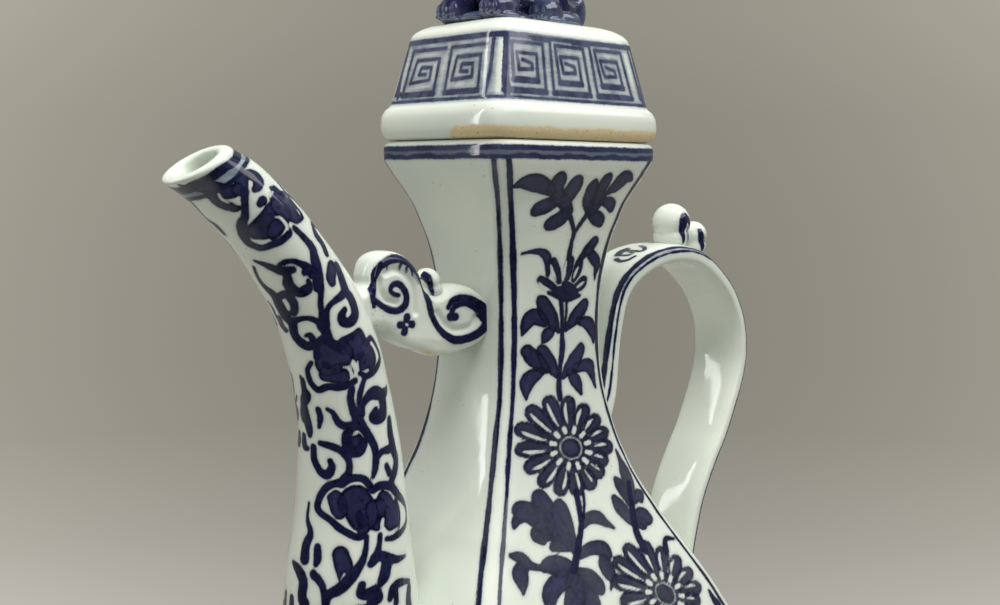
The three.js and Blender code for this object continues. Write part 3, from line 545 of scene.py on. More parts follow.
SPOUT_STROKES = (
    (82, 12.8, 1, 68, 15.8, 0.8, 55, 18.7, 0.8, 46, 19.7, 1.1, 38, 21.5, 1.4),
    (41, 20.6, 1.3, 33, 23.2, 1.2, 31, 26.3, 1, 41, 29.5, 0.9, 54, 30.4, 0.9, 70, 31.3, 1, 85, 31.3, 0.9),
    (90, 18.7, 1.3, 84, 18.7, 0.9), (112, 26.3, 1, 110, 27.1, 0.6),
    (153, 18.7, 0.4, 147, 22.4, 0.6, 134, 26.3, 0.5, 129, 31.3, 0.5, 116, 31.3, 0.6),
    (98, 31.3, 0.6, 101, 35.3, 0.8, 102, 39.7, 1.1, 94, 42.8, 1.4, 83, 47, 1.4, 76, 49.9, 1.4),
    (136, 36.4, 0.7, 127, 38.6, 1.2, 126, 41.8, 1.1, 119, 44.6, 0.9),
    (-2, 8.3, 0.12, -11, 14.8, 0.4, 0, 17.8, 0.8, 2, 20.6, 0.7),
    (-16, 24, 0.16, -17, 27.1, 0.3, -23, 31.3, 0.19),
    (19, 33.2, 0.3, 30, 35.3, 0.7, 38, 37.5, 1, 48, 39.7, 1.2, 60, 40.8, 1),
    (48, 37.5, 0.5, 56, 37.5, 0.6, 67, 38.6, 0.6, 74, 40.8, 0.8, 78, 42.8, 1.2, 81, 45.4, 1.5),
    (49, 41.8, 1.1, 44, 44.6, 1.4, 49, 47.8, 1.3, 59, 48.5, 1.6, 67, 47.8, 0.8, 69, 46.2, 0.4),
    (96, 42.8, 1.2, 86, 47, 1.3, 76, 51.4, 0.8, 66, 55.2, 0.7, 59, 60.6, 1, 58, 63.6, 1.3, 57, 67.4, 1.2),
    (124, 49.9, 1.2, 116, 52.9, 1.5, 109, 56.6, 1.4, 110, 59.7, 1.5, 105, 63.6, 1.5, 92, 64.8, 1.3,
     83, 63.6, 1.3, 84, 61.6, 1.1, 92, 60.6, 0.7),
    (60, 62.6, 1.1, 68, 58.1, 0.8, 78, 56.6, 0.7, 91, 56.6, 0.9, 100, 56.6, 1.1),
    (10, 35.3, 0.24, 4, 39.7, 0.6, 6, 42.8, 0.9, 14, 46.2, 1.3, 13, 49.9, 1.7, 13, 53.7, 1.8, 17, 56.6, 1.5),
    (18, 47, 1, 33, 47, 1.2, 36, 50.7, 1.1, 30, 53.7, 1, 22, 53.7, 0.4),
    (-1, 55.2, 0.9, -3, 58.1, 1.2, 2, 60.6, 1), (-9, 49.2, 0.3, -6, 51.4, 0.4, -8, 55.2, 0.4),
    (23, 56.6, 1.2, 35, 56.6, 0.8, 45, 57.4, 0.7, 53, 59.7, 0.8, 55, 62.6, 1),
    (19, 58.1, 1.5, 16, 62.6, 1.4, 23, 66.1, 1.4, 32, 67.4, 1.3, 39, 66.1, 1, 37, 63.6, 0.7, 32, 63.6, 0.4),
    (36, 71.6, 0.7, 42, 67.4, 0.9, 54, 66.1, 1.2, 61, 68.8, 1.2, 67, 70.2, 1.5, 74, 68.8, 0.9, 88, 68.8, 0.7,
     101, 68.8, 0.7, 104, 73, 1, 117, 73, 0.6, 124, 76.8, 0.6, 123, 79.9, 0.5, 107, 81.7, 0.7, 91, 82.5, 0.7,
     82, 80.8, 0.6),
    (27, 73, 0.6, 19, 75.6, 0.7, 19, 79.9, 0.9, 27, 83.3, 1, 40, 82.5, 1.1, 52, 83.3, 1.1, 64, 83.3, 0.9,
     73, 82.5, 0.9), (88, 75.6, 1, 94, 75.6, 0.5), (44, 74.3, 0.9, 47, 75.6, 0.5),
    (68, 84.9, 0.9, 64, 88, 0.8, 64, 91.9, 0.9, 67, 94.2, 1), (85, 83.3, 0.6, 77, 86.4, 0.6, 72, 89.6, 0.4),
    (125, 88.8, 0.2, 115, 90.4, 0.9, 100, 88, 1.4, 89, 88, 1.1, 79, 89.6, 0.7, 74, 91.9, 0.7),
    (107, 90.4, 1.4, 105, 94.2, 1.4, 95, 95.8, 1.7, 86, 95.8, 1),
    (5, 77.9, 0.4, 7, 82.5, 0.7, 12, 85.6, 0.9, 3, 88, 1, -5, 91.1, 1.1, -3, 93.4, 1.4),
    (-27, 77.9, 0.19, -20, 79, 0.3, -22, 85.6, 0.3), (-13, 86.4, 0.2, -28, 91.1, 0.3, -22, 95, 0.2),
    (23, 89.6, 0.7, 24, 92.7, 0.8),
    (68, 84.9, 0.9, 64, 88, 0.9, 66, 92.7, 1.1, 69, 95.8, 1.5, 78, 100.6, 1.1, 83, 104.7, 1, 82, 109.5, 1,
     78, 113.4, 0.5), (83, 84.1, 0.6, 76, 88, 0.5, 71, 91.9, 0.6),
    (74, 93.4, 0.8, 78, 90.4, 0.7, 90, 88.8, 1, 104, 89.6, 1.3, 119, 89.6, 0.8),
    (110, 91.1, 1.2, 104, 95.8, 1.3, 91, 96.5, 1.2, 86, 95, 1, 93, 93.4, 0.8),
    (7, 79, 0.8, 6, 84.9, 1.1, 1, 88, 1.4, 2, 91.9, 1.7, 5, 96.5, 1.5, 6, 99, 0.8),
    (-6, 99.8, 1, -5, 103.1, 1.3, 2, 103.9, 0.6), (24, 89.6, 0.6, 24, 92.7, 0.9, 21, 95.8, 0.4),
    (35, 89.6, 0.4, 41, 91.1, 0.6, 45, 94.2, 1, 52, 95.8, 1.1, 65, 96.5, 1.3),
    (58, 97.3, 1.2, 52, 99.8, 1.3, 55, 103.9, 1.6, 64, 104.7, 1.6, 71, 102.2, 1.2),
    (21, 101.4, 0.8, 33, 102.2, 1, 44, 103.9, 0.9, 52, 107.2, 0.8, 52, 111.1, 0.9, 46, 113.4, 1),
    (11, 103.1, 1, 12, 107.2, 1.1, 20, 111.1, 1.1, 29, 111.9, 1.4, 34, 109.5, 1, 32, 107.2, 0.7),
    (113, 98.1, 1, 110, 102.2, 1.3, 111, 107.2, 1.5, 114, 110.3, 1.3, 109, 113.4, 1.3, 102, 115.8, 1),
    (83, 108, 0.8, 92, 106.4, 0.8, 103, 106.4, 1.1), (99, 113.4, 1, 96, 111.1, 0.7),
    (46, 114.2, 1, 35, 115, 1, 26, 116.6, 1, 19, 120.1, 1, 19, 123.6, 1, 32, 126.2, 1, 44, 129.3, 1,
     58, 131.6, 0.9, 66, 131.6, 0.6),
    (44, 115, 1, 53, 113.4, 1, 65, 113.4, 0.9, 73, 115.8, 1, 76, 117.5, 1, 84, 116.6, 1.1, 99, 117.5, 1.2,
     110, 120.9, 1.1, 125, 125.3, 0.7, 126, 129.3, 0.6, 116, 131.6, 0.7, 100, 133.1, 0.8, 89, 133.1, 0.6),
    (68, 131.6, 0.6, 67, 135.4, 0.7, 63, 139.2, 1, 54, 143.1, 1.5, 44, 146.5, 1.5, 35, 148.3, 1.2,
     32, 151.1, 0.9), (82, 131.6, 0.6, 80, 135.4, 0.8, 75, 138.5, 1.3, 71, 140, 0.8),
    (114, 140, 0.22, 99, 140, 1, 86, 138.5, 1.5, 80, 137.7, 1.3),
    (87, 140.8, 1.8, 84, 143.9, 1.7, 80, 145.6, 1.2),
    (6, 121.8, 0.18, 5, 127, 0.6, 11, 131.6, 1.1, 7, 135.4, 1.5, 7, 139.2, 1.8),
    (21, 135.4, 1, 22, 138.5, 1.2, 21, 140, 0.8),
    (-10, 141.5, 0.4, 1, 143.1, 1.5, 8, 145.6, 1.7, 8, 150.1, 1.7, 11, 152, 1.8),
    (19, 143.1, 1.2, 26, 144.8, 1.1, 30, 147.4, 0.9, 31, 151.1, 0.8),
    (115, 148.3, 0.4, 101, 147.4, 1.1, 92, 148.3, 1.1, 88, 151.1, 0.9), (95, 149.2, 0.7, 94, 153, 0.8),
    (63, 145.6, 1, 62, 148.3, 1.3, 70, 148.3, 1.6, 75, 147.4, 1.1, 77, 150.1, 1.3, 70, 151.1, 1.2),
    (61, 124.5, 1, 64, 127.8, 1.3), (44, 120.1, 1.3, 45, 122.7, 1.3),
)
SPOUT_SPARED = (
    (52, 9.2, 0.4, 49, 11, 0.5, 52, 12.8, 0.24), (93, 12.8, 0.3, 89, 13.8, 0.5),
    (59, 13.8, 0.4, 62, 14.8, 0.5),
    (87, 24.8, 0.2, 92, 26.3, 0.4, 90, 29.5, 0.5, 79, 30.4, 0.5, 66, 30.4, 0.3),
    (40, 21.5, 0.24, 36, 24, 0.5, 38, 26.3, 0.4, 46, 28.7, 0.2),
    (79, 17.8, 0.24, 69, 18.7, 0.4, 55, 20.6, 0.24), (120, 19.7, 0.2, 105, 19.7, 0.4),
    (58, 42.8, 0.4, 54, 44.6, 0.5), (63, 44.6, 0.4, 71, 45.4, 0.5, 72, 47.8, 0.5, 66, 49.9, 0.3),
    (60, 39.7, 0.6, 64, 39.7, 0.4), (106, 60.6, 0.24, 99, 62.6, 0.4, 92, 63.6, 0.24),
    (21, 50.7, 0.3, 19, 53.7, 0.5, 26, 55.2, 0.3),
    (29, 74.3, 0.24, 24, 76.8, 0.6, 28, 79.9, 0.6, 39, 80.8, 0.24),
    (64, 76.8, 0.24, 70, 77.9, 0.5, 71, 80.8, 0.5, 67, 82.5, 0.3),
    (83, 76.8, 0.2, 80, 79.9, 0.5, 85, 80.8, 0.4, 94, 80.8, 0.4),
    (123, 75.6, 0.19, 124, 77.9, 0.3, 113, 79.9, 0.2), (59, 99, 0.4, 64, 99, 0.4),
    (38, 115.8, 0.3, 27, 118.3, 0.6, 25, 121.8, 0.6, 34, 125.3, 0.5, 43, 127.8, 0.5, 57, 130.1, 0.4),
    (53, 114.2, 0.4, 65, 115, 0.5, 72, 116.6, 0.4), (89, 117.5, 0.4, 98, 119.2, 0.6, 103, 121.8, 0.4),
    (86, 127, 0.5, 85, 129.3, 0.6, 92, 131.6, 0.6, 105, 130.9, 0.4), (123, 126.2, 0.23, 121, 128.6, 0.3),
    (2, 88, 0.3, 0, 91.1, 0.3), (48, 142.3, 0.4, 46, 143.9, 0.4), (4, 136.2, 0.3, 4, 138.5, 0.3),
    (81, 140.8, 0.4, 83, 143.1, 0.3),
)
SPOUT_FULLER = 0.3
# The strokes from here on are laid once more, so much further down
SPOUT_REPEAT_FROM = 98
SPOUT_REPEAT = 52
# The other side: degrees that its strokes start from, the sum that mirrors them, and their widening
SPOUT_MIRROR_FROM = -7
SPOUT_MIRROR_FOOT = 332
SPOUT_WIDENING = 1.4
# Bands round the mouth: length along and half width of the two lines, and of the wash between them
SPOUT_UPPER_BAND = (3.9, 1.6)
SPOUT_LOWER_BAND = (8.1, 0.75)
SPOUT_BAND_WASH = (6.2, 2.4)


def spout_painting(paint):
    """Scrolling tendrils and cloud blossoms, mirrored and widened round to the spout's other side."""
    for mirrored in (False, True):
        for kind, strokes in (("wash", SPOUT_FILLS), ("line", SPOUT_STROKES), ("spared", SPOUT_SPARED)):
            for shift in (0, SPOUT_REPEAT):
                for stroke in strokes:
                    moved = np.reshape(stroke, (-1, 3)) + (0, shift, 0 if kind == "spared" else SPOUT_FULLER)
                    if shift and moved[0, 1] < SPOUT_REPEAT_FROM + shift:
                        continue
                    if mirrored:
                        if moved[:, 0].min() < SPOUT_MIRROR_FROM:
                            continue
                        moved[:, 0] = SPOUT_MIRROR_FOOT - SPOUT_WIDENING * moved[:, 0]
                    if kind == "wash":
                        paint.lobe(moved)
                    else:
                        paint.lay(kind, moved)
    turned = np.radians(paint.across)
    waver = 0.25 * np.sin(3 * turned + 1) + 0.15 * np.sin(7 * turned)
    upper = np.abs(paint.up - SPOUT_UPPER_BAND[0] - waver) - SPOUT_UPPER_BAND[1]
    lower = np.abs(paint.up - SPOUT_LOWER_BAND[0] + waver) - SPOUT_LOWER_BAND[1]
    between = np.abs(paint.up - SPOUT_BAND_WASH[0]) - SPOUT_BAND_WASH[1]
    paint.layers["line"][:] = np.minimum.reduce([paint.layers["line"], upper, lower])
    paint.layers["pale"][:] = np.minimum(paint.layers["pale"], between)


# Brush strokes of the strut, seen from -Y: across, height and half width
STRUT_STROKES = (
    (-69.8, 234.8, 0.83, -70.2, 237.4, 1.08, -70.1, 239.9, 1.2, -69.1, 244, 1.2, -66.9, 247.1, 1.27,
     -62.8, 249.1, 1.41, -58.7, 249.1, 1.42, -54.5, 247, 1.37, -51.5, 244.2, 1.31, -49.4, 240.7, 1.31,
     -47.7, 235.9, 1.32, -46.4, 231.2, 1.32, -44.2, 227, 1.26, -40.6, 223.4, 1.34, -36.6, 221.5, 1.49,
     -31.6, 221.6, 1.5, -27.4, 223.6, 1.55, -25, 226.9, 1.6, -25.9, 230.7, 1.8, -29.3, 233.8, 1.6,
     -33.4, 235.2, 1.3, -37.1, 234.4, 1.2, -39.1, 232.4, 0.94),
    (-69.6, 236.7, 1, -66.9, 234.9, 1.05, -63.7, 233.4, 1.2, -60, 232.9, 1.25, -57.4, 234.3, 1.3,
     -56.7, 236.8, 1.3, -57.9, 239.5, 1.25, -60.1, 241.3, 1.15, -62.4, 241, 1, -63.2, 239.3, 0.9,
     -61.6, 238.1, 0.85, -59.7, 237.7, 0.7),
    (-26.5, 227.7, 1, -28.6, 231.2, 1.2, -32.5, 233.4, 1.1, -36.2, 232.6, 1.1, -37.6, 230.9, 1.1),
    (-38.4, 229.3, 1.5, -36.1, 229.1, 1.4), (-64.6, 247.1, 0.51, -64, 246.1, 0.32),
    (-59.1, 247.4, 0.52, -58.7, 245.7, 0.26), (-56.6, 246.3, 0.52, -56.1, 244.7, 0.26),
    (-54.5, 245.2, 0.52, -54, 243.5, 0.26), (-56.6, 230.3, 1.5, -57, 228.9, 1.2),
    (-59.5, 228.2, 1.3, -58.1, 227.9, 1.1), (-57.6, 225.8, 1.45, -57.2, 227.1, 1.1),
    (-54.4, 228, 1.4, -55.6, 228.2, 1.1),
    (-48.1, 244.2, 0.92, -46.3, 243.2, 1.45, -45.4, 240.8, 0.99, -44.5, 237.9, 0.6, -43.9, 236.6, 0.27),
)
STRUT_MARK_HEART = (-56.4, 227.9, 0.4, -56.9, 228.2, 0.4)
STRUT_SCAR = (-49.6, 218.8, 0.45, -47.3, 217.9, 0.6, -44.6, 217.4, 0.4)
STRUT_PALE = (
    (-54.9, 245.9, 0.65, -52.8, 243.5, 0.85, -51.5, 241.1, 0.46), (-46.8, 243.3, 0.46, -46.1, 242.8, 0.33),
)
# The groove that is pressed beside the painted line
STRUT_GROOVES = (
    (-65.4, 245, 0.5, -61, 246, 0.6, -57, 244.2, 0.7, -54.2, 240.6, 0.7, -53.4, 236, 0.6, -53, 231.6, 0.4),
    (-67.2, 242.6, 0.5, -66.9, 239.6, 0.5, -64.6, 236.4, 0.5, -60.9, 235.3, 0.5),
    (-43.6, 231, 0.5, -40.6, 227, 0.6, -35.6, 224.8, 0.6, -30.2, 225.9, 0.5, -28.9, 228.6, 0.4),
)


def strut_painting(paint):
    """The blue line that follows the strut's scroll, and its small four-petalled mark."""
    for stroke in STRUT_STROKES:
        paint.lay("line", stroke)
    paint.clear(STRUT_MARK_HEART)
    for stroke in STRUT_PALE:
        paint.lay("pale", stroke)


# Stations of the handle's two lines: length along it, then place and half width of each
HANDLE_LINES = (
    (18, 0, 1.2, 4.1, 0.6), (27, 0, 1.35, 4, 0.75), (45, 0.1, 1.4, 3.6, 0.75), (62, 0.3, 1.35, 3.3, 0.8),
    (78, 0.6, 1.1, 3.6, 0.65), (92, 0.9, 0.75, 3.6, 0.65), (104, 1.1, 0.7, 3.1, 0.6),
    (113, 1.6, 0.6, 2.6, 0.3), (122, 2.1, 0.55, 2.2, 0), (150, 2.6, 0.55, 2.6, 0), (330, 2.6, 0.55, 2.6, 0),
)
HANDLE_EDGE = 10.8
HANDLE_SCROLL_FULLER = 0.25
# Brush strokes of the scroll on the handle's back: across towards -Y, length along it, half width
HANDLE_SCROLL = (
    (6.6, 75.1, 0.5, 5.4, 71.7, 0.6, 2.1, 70.7, 0.7, -1.6, 73.3, 0.7, -3.6, 78.4, 0.7, -2.6, 81.8, 0.6,
     -1.4, 84.2, 0.6, 0.7, 86.1, 0.6, 5.8, 81.4, 0.6, 5.6, 79, 0.5),
    (-0.4, 74.6, 0.5, -1.1, 77.1, 0.5, 0.4, 79.2, 0.5, 3.6, 77.3, 0.5, 3.4, 75.3, 0.45, 1.5, 75.1, 0.4),
    (0.7, 80.6, 0.45, 4.9, 79, 0.55), (1.3, 88.2, 0.5, 1.6, 90.5, 0.55), (-0.4, 92.2, 0.45, -1.2, 95.4, 0.45),
    (-1.8, 97.2, 0.4, -2.2, 99.4, 0.4),
)


def handle_fields(places, around, along):
    """Lines along the strap's two outer edges, a wash between them, and a scroll on its back."""
    stretch = np.interp(along, (0, 30, 60), (1.2, 1.05, 1.0))
    stations = [row[0] for row in HANDLE_LINES]
    outer, outer_half, inner, inner_half = (
        np.interp(along, stations, [row[k] for row in HANDLE_LINES]) for k in (1, 2, 3, 4))
    waver = 0.14 * np.sin(along * 0.35) + 0.08 * np.sin(along * 0.9 + 1)
    from_edge = around - HANDLE_EDGE * stretch
    first = np.abs(from_edge - outer) - outer_half - waver * (along < 110)
    second = np.where(inner_half > 0.05, np.abs(from_edge - inner) - inner_half - waver, Painting.REACH)
    washed = (inner_half > 0.05) & (along > 58)
    between = np.maximum(outer - from_edge, from_edge - inner)
    scroll = Painting(-places[..., 1], along)
    for stroke in HANDLE_SCROLL:
        scroll.lay("line", swollen(stroke, HANDLE_SCROLL_FULLER))
    back = np.where(around < HANDLE_EDGE, scroll.layers["line"].reshape(along.shape), Painting.REACH)
    fields = unpainted(along.shape)
    fields.update(line=np.minimum.reduce([first, second, back]),
                  pale=np.where(washed, between, Painting.REACH))
    return fields


# Course of a key fret's cell, in shares of its pitch and of the band's rise
FRET_PATH = (
    (-0.45, 0.93), (-0.03, 0.93), (0, 0.12), (0.83, 0.12), (0.79, 0.865), (0.09, 0.865), (0.15, 0.285),
    (0.66, 0.285), (0.64, 0.7), (0.2, 0.7), (0.25, 0.44), (0.54, 0.46), (0.53, 0.55), (0.32, 0.6),
)
FRET_NARROW_PATH = (
    (0.86, 0.83), (0, 0.83), (0, 0.12), (0.74, 0.12), (0.74, 0.67), (0.17, 0.67), (0.12, 0.31), (0.58, 0.34),
    (0.57, 0.54), (0.32, 0.55), (0.29, 0.44), (0.46, 0.43),
)
FRET_PITCH = 20.3
FRET_EDGE = 3.2
# The painted band: shares of the lid's height, and its half length at these
BAND_SPAN = (0.3, 0.8)
BAND_HALVES = (38.1, 33)
BAND_HALF = 35.5
# Places of the upright strip at a corner, back from its edge, at top, middle and foot
STRIP_WIDE = (0, 0, 0.9)
STRIP_NARROW = (1.2, 1.7, 3)
# The lid's bare edge: how high it reaches, and where along the left side the glaze runs over it
BARE_RISE = 3.8
BARE_ENDS = (-12, 9)


def lid_fields(places, first, last):
    """The key fret between two lines, the plain corner strips, and the bare lower edge."""
    shape = places.shape[:2]
    fields = unpainted(shape, "bare")
    foot, head = (LID_SEAT + share * LID_HEIGHT for share in BAND_SPAN)
    rise = head - foot
    heights = places[..., 2]
    half = np.interp(heights, (foot, head), BAND_HALVES)
    outside = np.zeros(shape, bool)
    outside[first:last] = True
    banded = outside & (heights > foot - 2) & (heights < head + 2)
    start = 0
    for side, steps in enumerate((LID_WIDE_STEPS, LID_NARROW_STEPS) * 2):
        columns = slice(start, start + steps + 1)
        wide = side % 2 == 0
        level = heights[:, columns]
        reach = BAND_HALF if wide else BAND_HALF * SECTION_ASPECT
        sign = 1 if side < 2 else -1
        across = sign * places[:, columns, side % 2] / (half[:, columns] * (1 if wide else SECTION_ASPECT))
        across = across * reach
        painting = Painting(across, level)
        limit = reach - FRET_EDGE
        cells = 3 if wide else 2
        begin = -limit if wide else limit - cells * FRET_PITCH - 0.9
        for cell in range(cells):
            left = begin + cell * FRET_PITCH
            path = FRET_NARROW_PATH
            if wide:
                path = FRET_PATH[2:] if cell == 0 else FRET_PATH
            for (x1, y1), (x2, y2) in zip(path, path[1:]):
                weight = 1.05 if abs(y1 - y2) < 0.1 and y1 < 0.3 else 0.65
                painting.lay("line", ((left + x1 * FRET_PITCH, foot + y1 * rise, weight),
                                      (left + x2 * FRET_PITCH, foot + y2 * rise, weight)))
        spare = limit - (begin + cells * FRET_PITCH) if wide else begin + limit
        rest = begin + cells * FRET_PITCH if wide else -limit
        if spare > 3:
            top, low = foot + 0.9 * rise, foot + 0.14 * rise
            painting.lay("line", ((rest + 1, top, 0.65), (rest + 1.4, low, 0.65)))
            painting.lay("line", ((rest + 1.4, low, 1), (rest + spare - 1.5, low, 1)))
        weight = 1.3 if wide else 0.75
        strip = list(zip(STRIP_WIDE if wide else STRIP_NARROW, (0.9, 0.4, 0.08)))
        for end in (-1, 1):
            painting.lay("line", [(end * (limit - back), foot + share * rise, weight)
                                  for back, share in strip])
        corner = np.abs(across) - limit - 0.5
        upper = np.abs(level - head + 0.6) - 0.95
        lower = np.abs(level - foot - 0.3) - 0.55
        inside = np.maximum(np.abs(level - (foot + head) / 2) - rise / 2, corner)
        line = np.minimum(painting.layers["line"].reshape(across.shape), np.minimum(upper, lower))
        fields["line"][:, columns] = np.minimum(fields["line"][:, columns], line)
        fields["pale"][:, columns] = np.minimum(fields["pale"][:, columns], inside)
        start += steps
    for name in ("line", "wash", "pale"):
        fields[name][~banded] = Painting.REACH
    on_left = places[..., 0] < -FLANGE_HALF + 3
    fade = np.where(on_left, 6 * smooth((places[..., 1] - BARE_ENDS[0]) / BARE_ENDS[1]), 0)
    fields["bare"] = np.where(outside, heights - (LID_SEAT + BARE_RISE) + fade, Painting.REACH)
    fields["bare"][:first] = -1
    return fields


def bare_clay(name):
    """Fired clay without glaze, tan with darker grains."""
    bench = Bench(name)
    hues = settings()
    grain = bench.noise(0.7, detail=3.0).fade(0.35, 0.75)
    colour = bench.mix(grain * 0.5, hues.biscuit, grained(hues.biscuit))
    bump = bench.node("ShaderNodeBump", {}, {
        "Strength": 0.35, "Distance": 0.2 * MM, "Height": bench.noise(0.6, detail=3.0)}, "Normal")
    return bench.finish(Base_Color=colour, Roughness=0.75, Normal=bump)


def cobalt_glaze(name):
    """Deep cobalt under clear glaze, pooled dark in hollows and run thin over ridges and feet."""
    bench = Bench(name)
    hues = settings()
    cloudy = bench.noise(5.0, detail=3.0).fade(0.35, 0.7)
    thin = (bench.layer("raised") + (bench.noise(2.5, detail=2.0) - 0.5) * 0.012).fade(0.004, 0.03)
    low = bench.node("ShaderNodeSeparateXYZ", {}, [bench.place()], "Z")
    foot = low.fade((LID_SEAT + LID_HEIGHT + 3.5) * MM, (LID_SEAT + LID_HEIGHT - 0.5) * MM)
    colour = bench.mix(cloudy * 0.6, hues.lion_blue, hues.cobalt_deep)
    runny = bench.noise(9.0, detail=1.0).fade(0.45, 0.62) * 0.18
    colour = bench.mix((thin * 0.35 + foot * (0.15 + cloudy * 0.5) + runny).at_most(0.85), colour,
                       hues.lion_thin)
    return bench.finish(Base_Color=colour, Roughness=0.04, IOR=1.85)


def mesh_from_grid(name, places, fields):
    """A sheet of points in rows by columns becomes a closed mesh that carries its paint."""
    rows, columns = places.shape[:2]
    shape = bmesh.new()
    bmesh.ops.create_grid(shape, x_segments=columns - 1, y_segments=rows - 1, size=1)
    mesh = bpy.data.meshes.new(name)
    shape.to_mesh(mesh)
    shape.free()
    moved = (places.reshape(-1, 3) + (AXIS_X, 0, 0)) * MM
    mesh.vertices.foreach_set("co", moved.astype(np.float32).ravel())
    keep_fields(mesh, fields)
    shape = bmesh.new()
    shape.from_mesh(mesh)
    bmesh.ops.remove_doubles(shape, verts=shape.verts, dist=0.02 * MM)
    bmesh.ops.recalc_face_normals(shape, faces=shape.faces)
    shape.to_mesh(mesh)
    shape.free()
    mesh.shade_smooth()
    return mesh


def shown(name, mesh, nodes, material, body="vessel"):
    """The finished mesh becomes a piece that rides on its body and stands for its nodes, which are hidden."""
    piece = bpy.data.objects.new(name, mesh)
    bpy.context.scene.collection.objects.link(piece)
    mesh.materials.clear()
    mesh.materials.append(material)
    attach(piece, body)
    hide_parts(*nodes)


SPOUT_REACH = 138
SPOUT_RADIUS = 22
SPOUT_BORE_SHARE = 0.62
MOUTH_TILT = math.radians(32)
MOUTH_BLEND = 0.12
MOUTH_SLIMMING = 0.09
MOUTH_RUN = 14
# Centreline and radius of the spout: shares of its reach, the vessel's height and its radius
SPOUT_COURSE_SHARES = (
    (-0.33, 0.275, 1.05), (-0.42, 0.298, 1.05), (-0.485, 0.34, 1.05), (-0.522, 0.39, 1.04),
    (-0.54, 0.44, 1.01), (-0.544, 0.49, 0.977), (-0.545, 0.53, 0.925), (-0.544, 0.563, 0.86),
    (-0.542, 0.595, 0.81), (-0.543, 0.631, 0.768), (-0.546, 0.664, 0.732), (-0.554, 0.698, 0.691),
    (-0.567, 0.73, 0.668), (-0.584, 0.764, 0.652), (-0.624, 0.814, 0.615), (-0.659, 0.843, 0.58),
    (-0.698, 0.869, 0.555), (-0.754, 0.903, 0.527), (-0.804, 0.927, 0.507), (-0.867, 0.953, 0.488),
    (-0.93, 0.9705, 0.53),
)
HANDLE_REACH = 124
HANDLE_WIDTH = 24.5
HANDLE_THICKNESS = 8.18
HANDLE_FLARE = 0.3
HANDLE_FLARE_RUN = 0.14
# Centreline and half thickness of the handle: shares of its reach, the vessel's height and its thickness
HANDLE_COURSE_SHARES = (
    (0.17, 0.628, 0.62), (0.235, 0.65, 0.62), (0.275, 0.68, 0.6), (0.296, 0.711, 0.56), (0.314, 0.752, 0.53),
    (0.332, 0.786, 0.51), (0.353, 0.808, 0.5), (0.384, 0.824, 0.5), (0.425, 0.836, 0.49),
    (0.483, 0.847, 0.49), (0.54, 0.853, 0.49), (0.602, 0.856, 0.48), (0.665, 0.8545, 0.47),
    (0.721, 0.849, 0.46), (0.78, 0.8375, 0.45), (0.851, 0.816, 0.43), (0.899, 0.796, 0.425),
    (0.933, 0.775, 0.42), (0.957, 0.754, 0.42), (0.971, 0.728, 0.42), (0.972, 0.698, 0.42),
    (0.958, 0.673, 0.42), (0.936, 0.649, 0.42), (0.898, 0.615, 0.41), (0.865, 0.589, 0.41),
    (0.821, 0.561, 0.41), (0.781, 0.532, 0.4), (0.748, 0.503, 0.4), (0.722, 0.467, 0.4), (0.702, 0.43, 0.4),
    (0.69, 0.394, 0.42), (0.664, 0.36, 0.45), (0.615, 0.332, 0.5), (0.545, 0.312, 0.55), (0.47, 0.3, 0.55),
)
STRUT_WIDTH = 12
STRUT_ROOT_WIDTH = 20
STRUT_ROOT_RUN = 14
STRUT_ROOT_HEIGHT = 228
# Strut outline, seen from -Y: shares of the spout's reach and the vessel's height
STRUT_OUTLINE_SHARES = (
    (-0.55, 0.797), (-0.549, 0.829), (-0.515, 0.841), (-0.512, 0.852), (-0.5, 0.867), (-0.477, 0.875),
    (-0.444, 0.877), (-0.411, 0.873), (-0.381, 0.863), (-0.36, 0.85), (-0.345, 0.833), (-0.317, 0.825),
    (-0.28, 0.829), (-0.243, 0.835), (-0.204, 0.831), (-0.17, 0.817), (-0.149, 0.8), (-0.156, 0.781),
    (-0.19, 0.763), (-0.237, 0.755), (-0.275, 0.753), (-0.319, 0.754), (-0.362, 0.762), (-0.402, 0.768),
    (-0.439, 0.778), (-0.472, 0.791),
)
# Lid profile: shares of the lid's height and of the flange's half length
LID_PROFILE_SHARES = (
    (0, 0.93), (0.02, 0.972), (0.065, 0.995), (0.13, 1), (0.195, 0.993), (0.245, 0.97), (0.275, 0.941),
    (0.3, 0.929),
)
LID_SHOULDER_SHARES = (
    (0.8, 0.806), (0.845, 0.789), (0.888, 0.748), (0.93, 0.66), (0.952, 0.54), (0.97, 0.34), (0.982, 0.004),
)


def tube_places(course, lengths, ring):
    """Rings of points along a course in X and Z. ring gives each ring's direction and its radii."""
    run = np.gradient(course[:, :2], axis=0)
    run /= np.linalg.norm(run, axis=1)[:, None]
    share = lengths / lengths[-1]
    direction, across, deep = ring(share, run, course[:, 2])
    places = np.empty((len(course), across.shape[1], 3))
    places[..., 0] = course[:, :1] + direction[:, :1] * across
    places[..., 1] = deep
    places[..., 2] = course[:, 1:2] + direction[:, 1:2] * across
    return places


def rows_between(places, start, stop, count, bias=0.0):
    """Each column sampled anew between its own start and stop rows."""
    even = np.linspace(0, 1, count)
    even = even * (1 - bias) + bias * even ** 2
    wanted = start[None, :] + even[:, None] * (stop - start)[None, :]
    low = np.clip(np.floor(wanted).astype(int), 0, len(places) - 2)
    part = (wanted - low)[..., None]
    columns = np.arange(places.shape[1])[None, :]
    return places[low, columns] * (1 - part) + places[low + 1, columns] * part, wanted


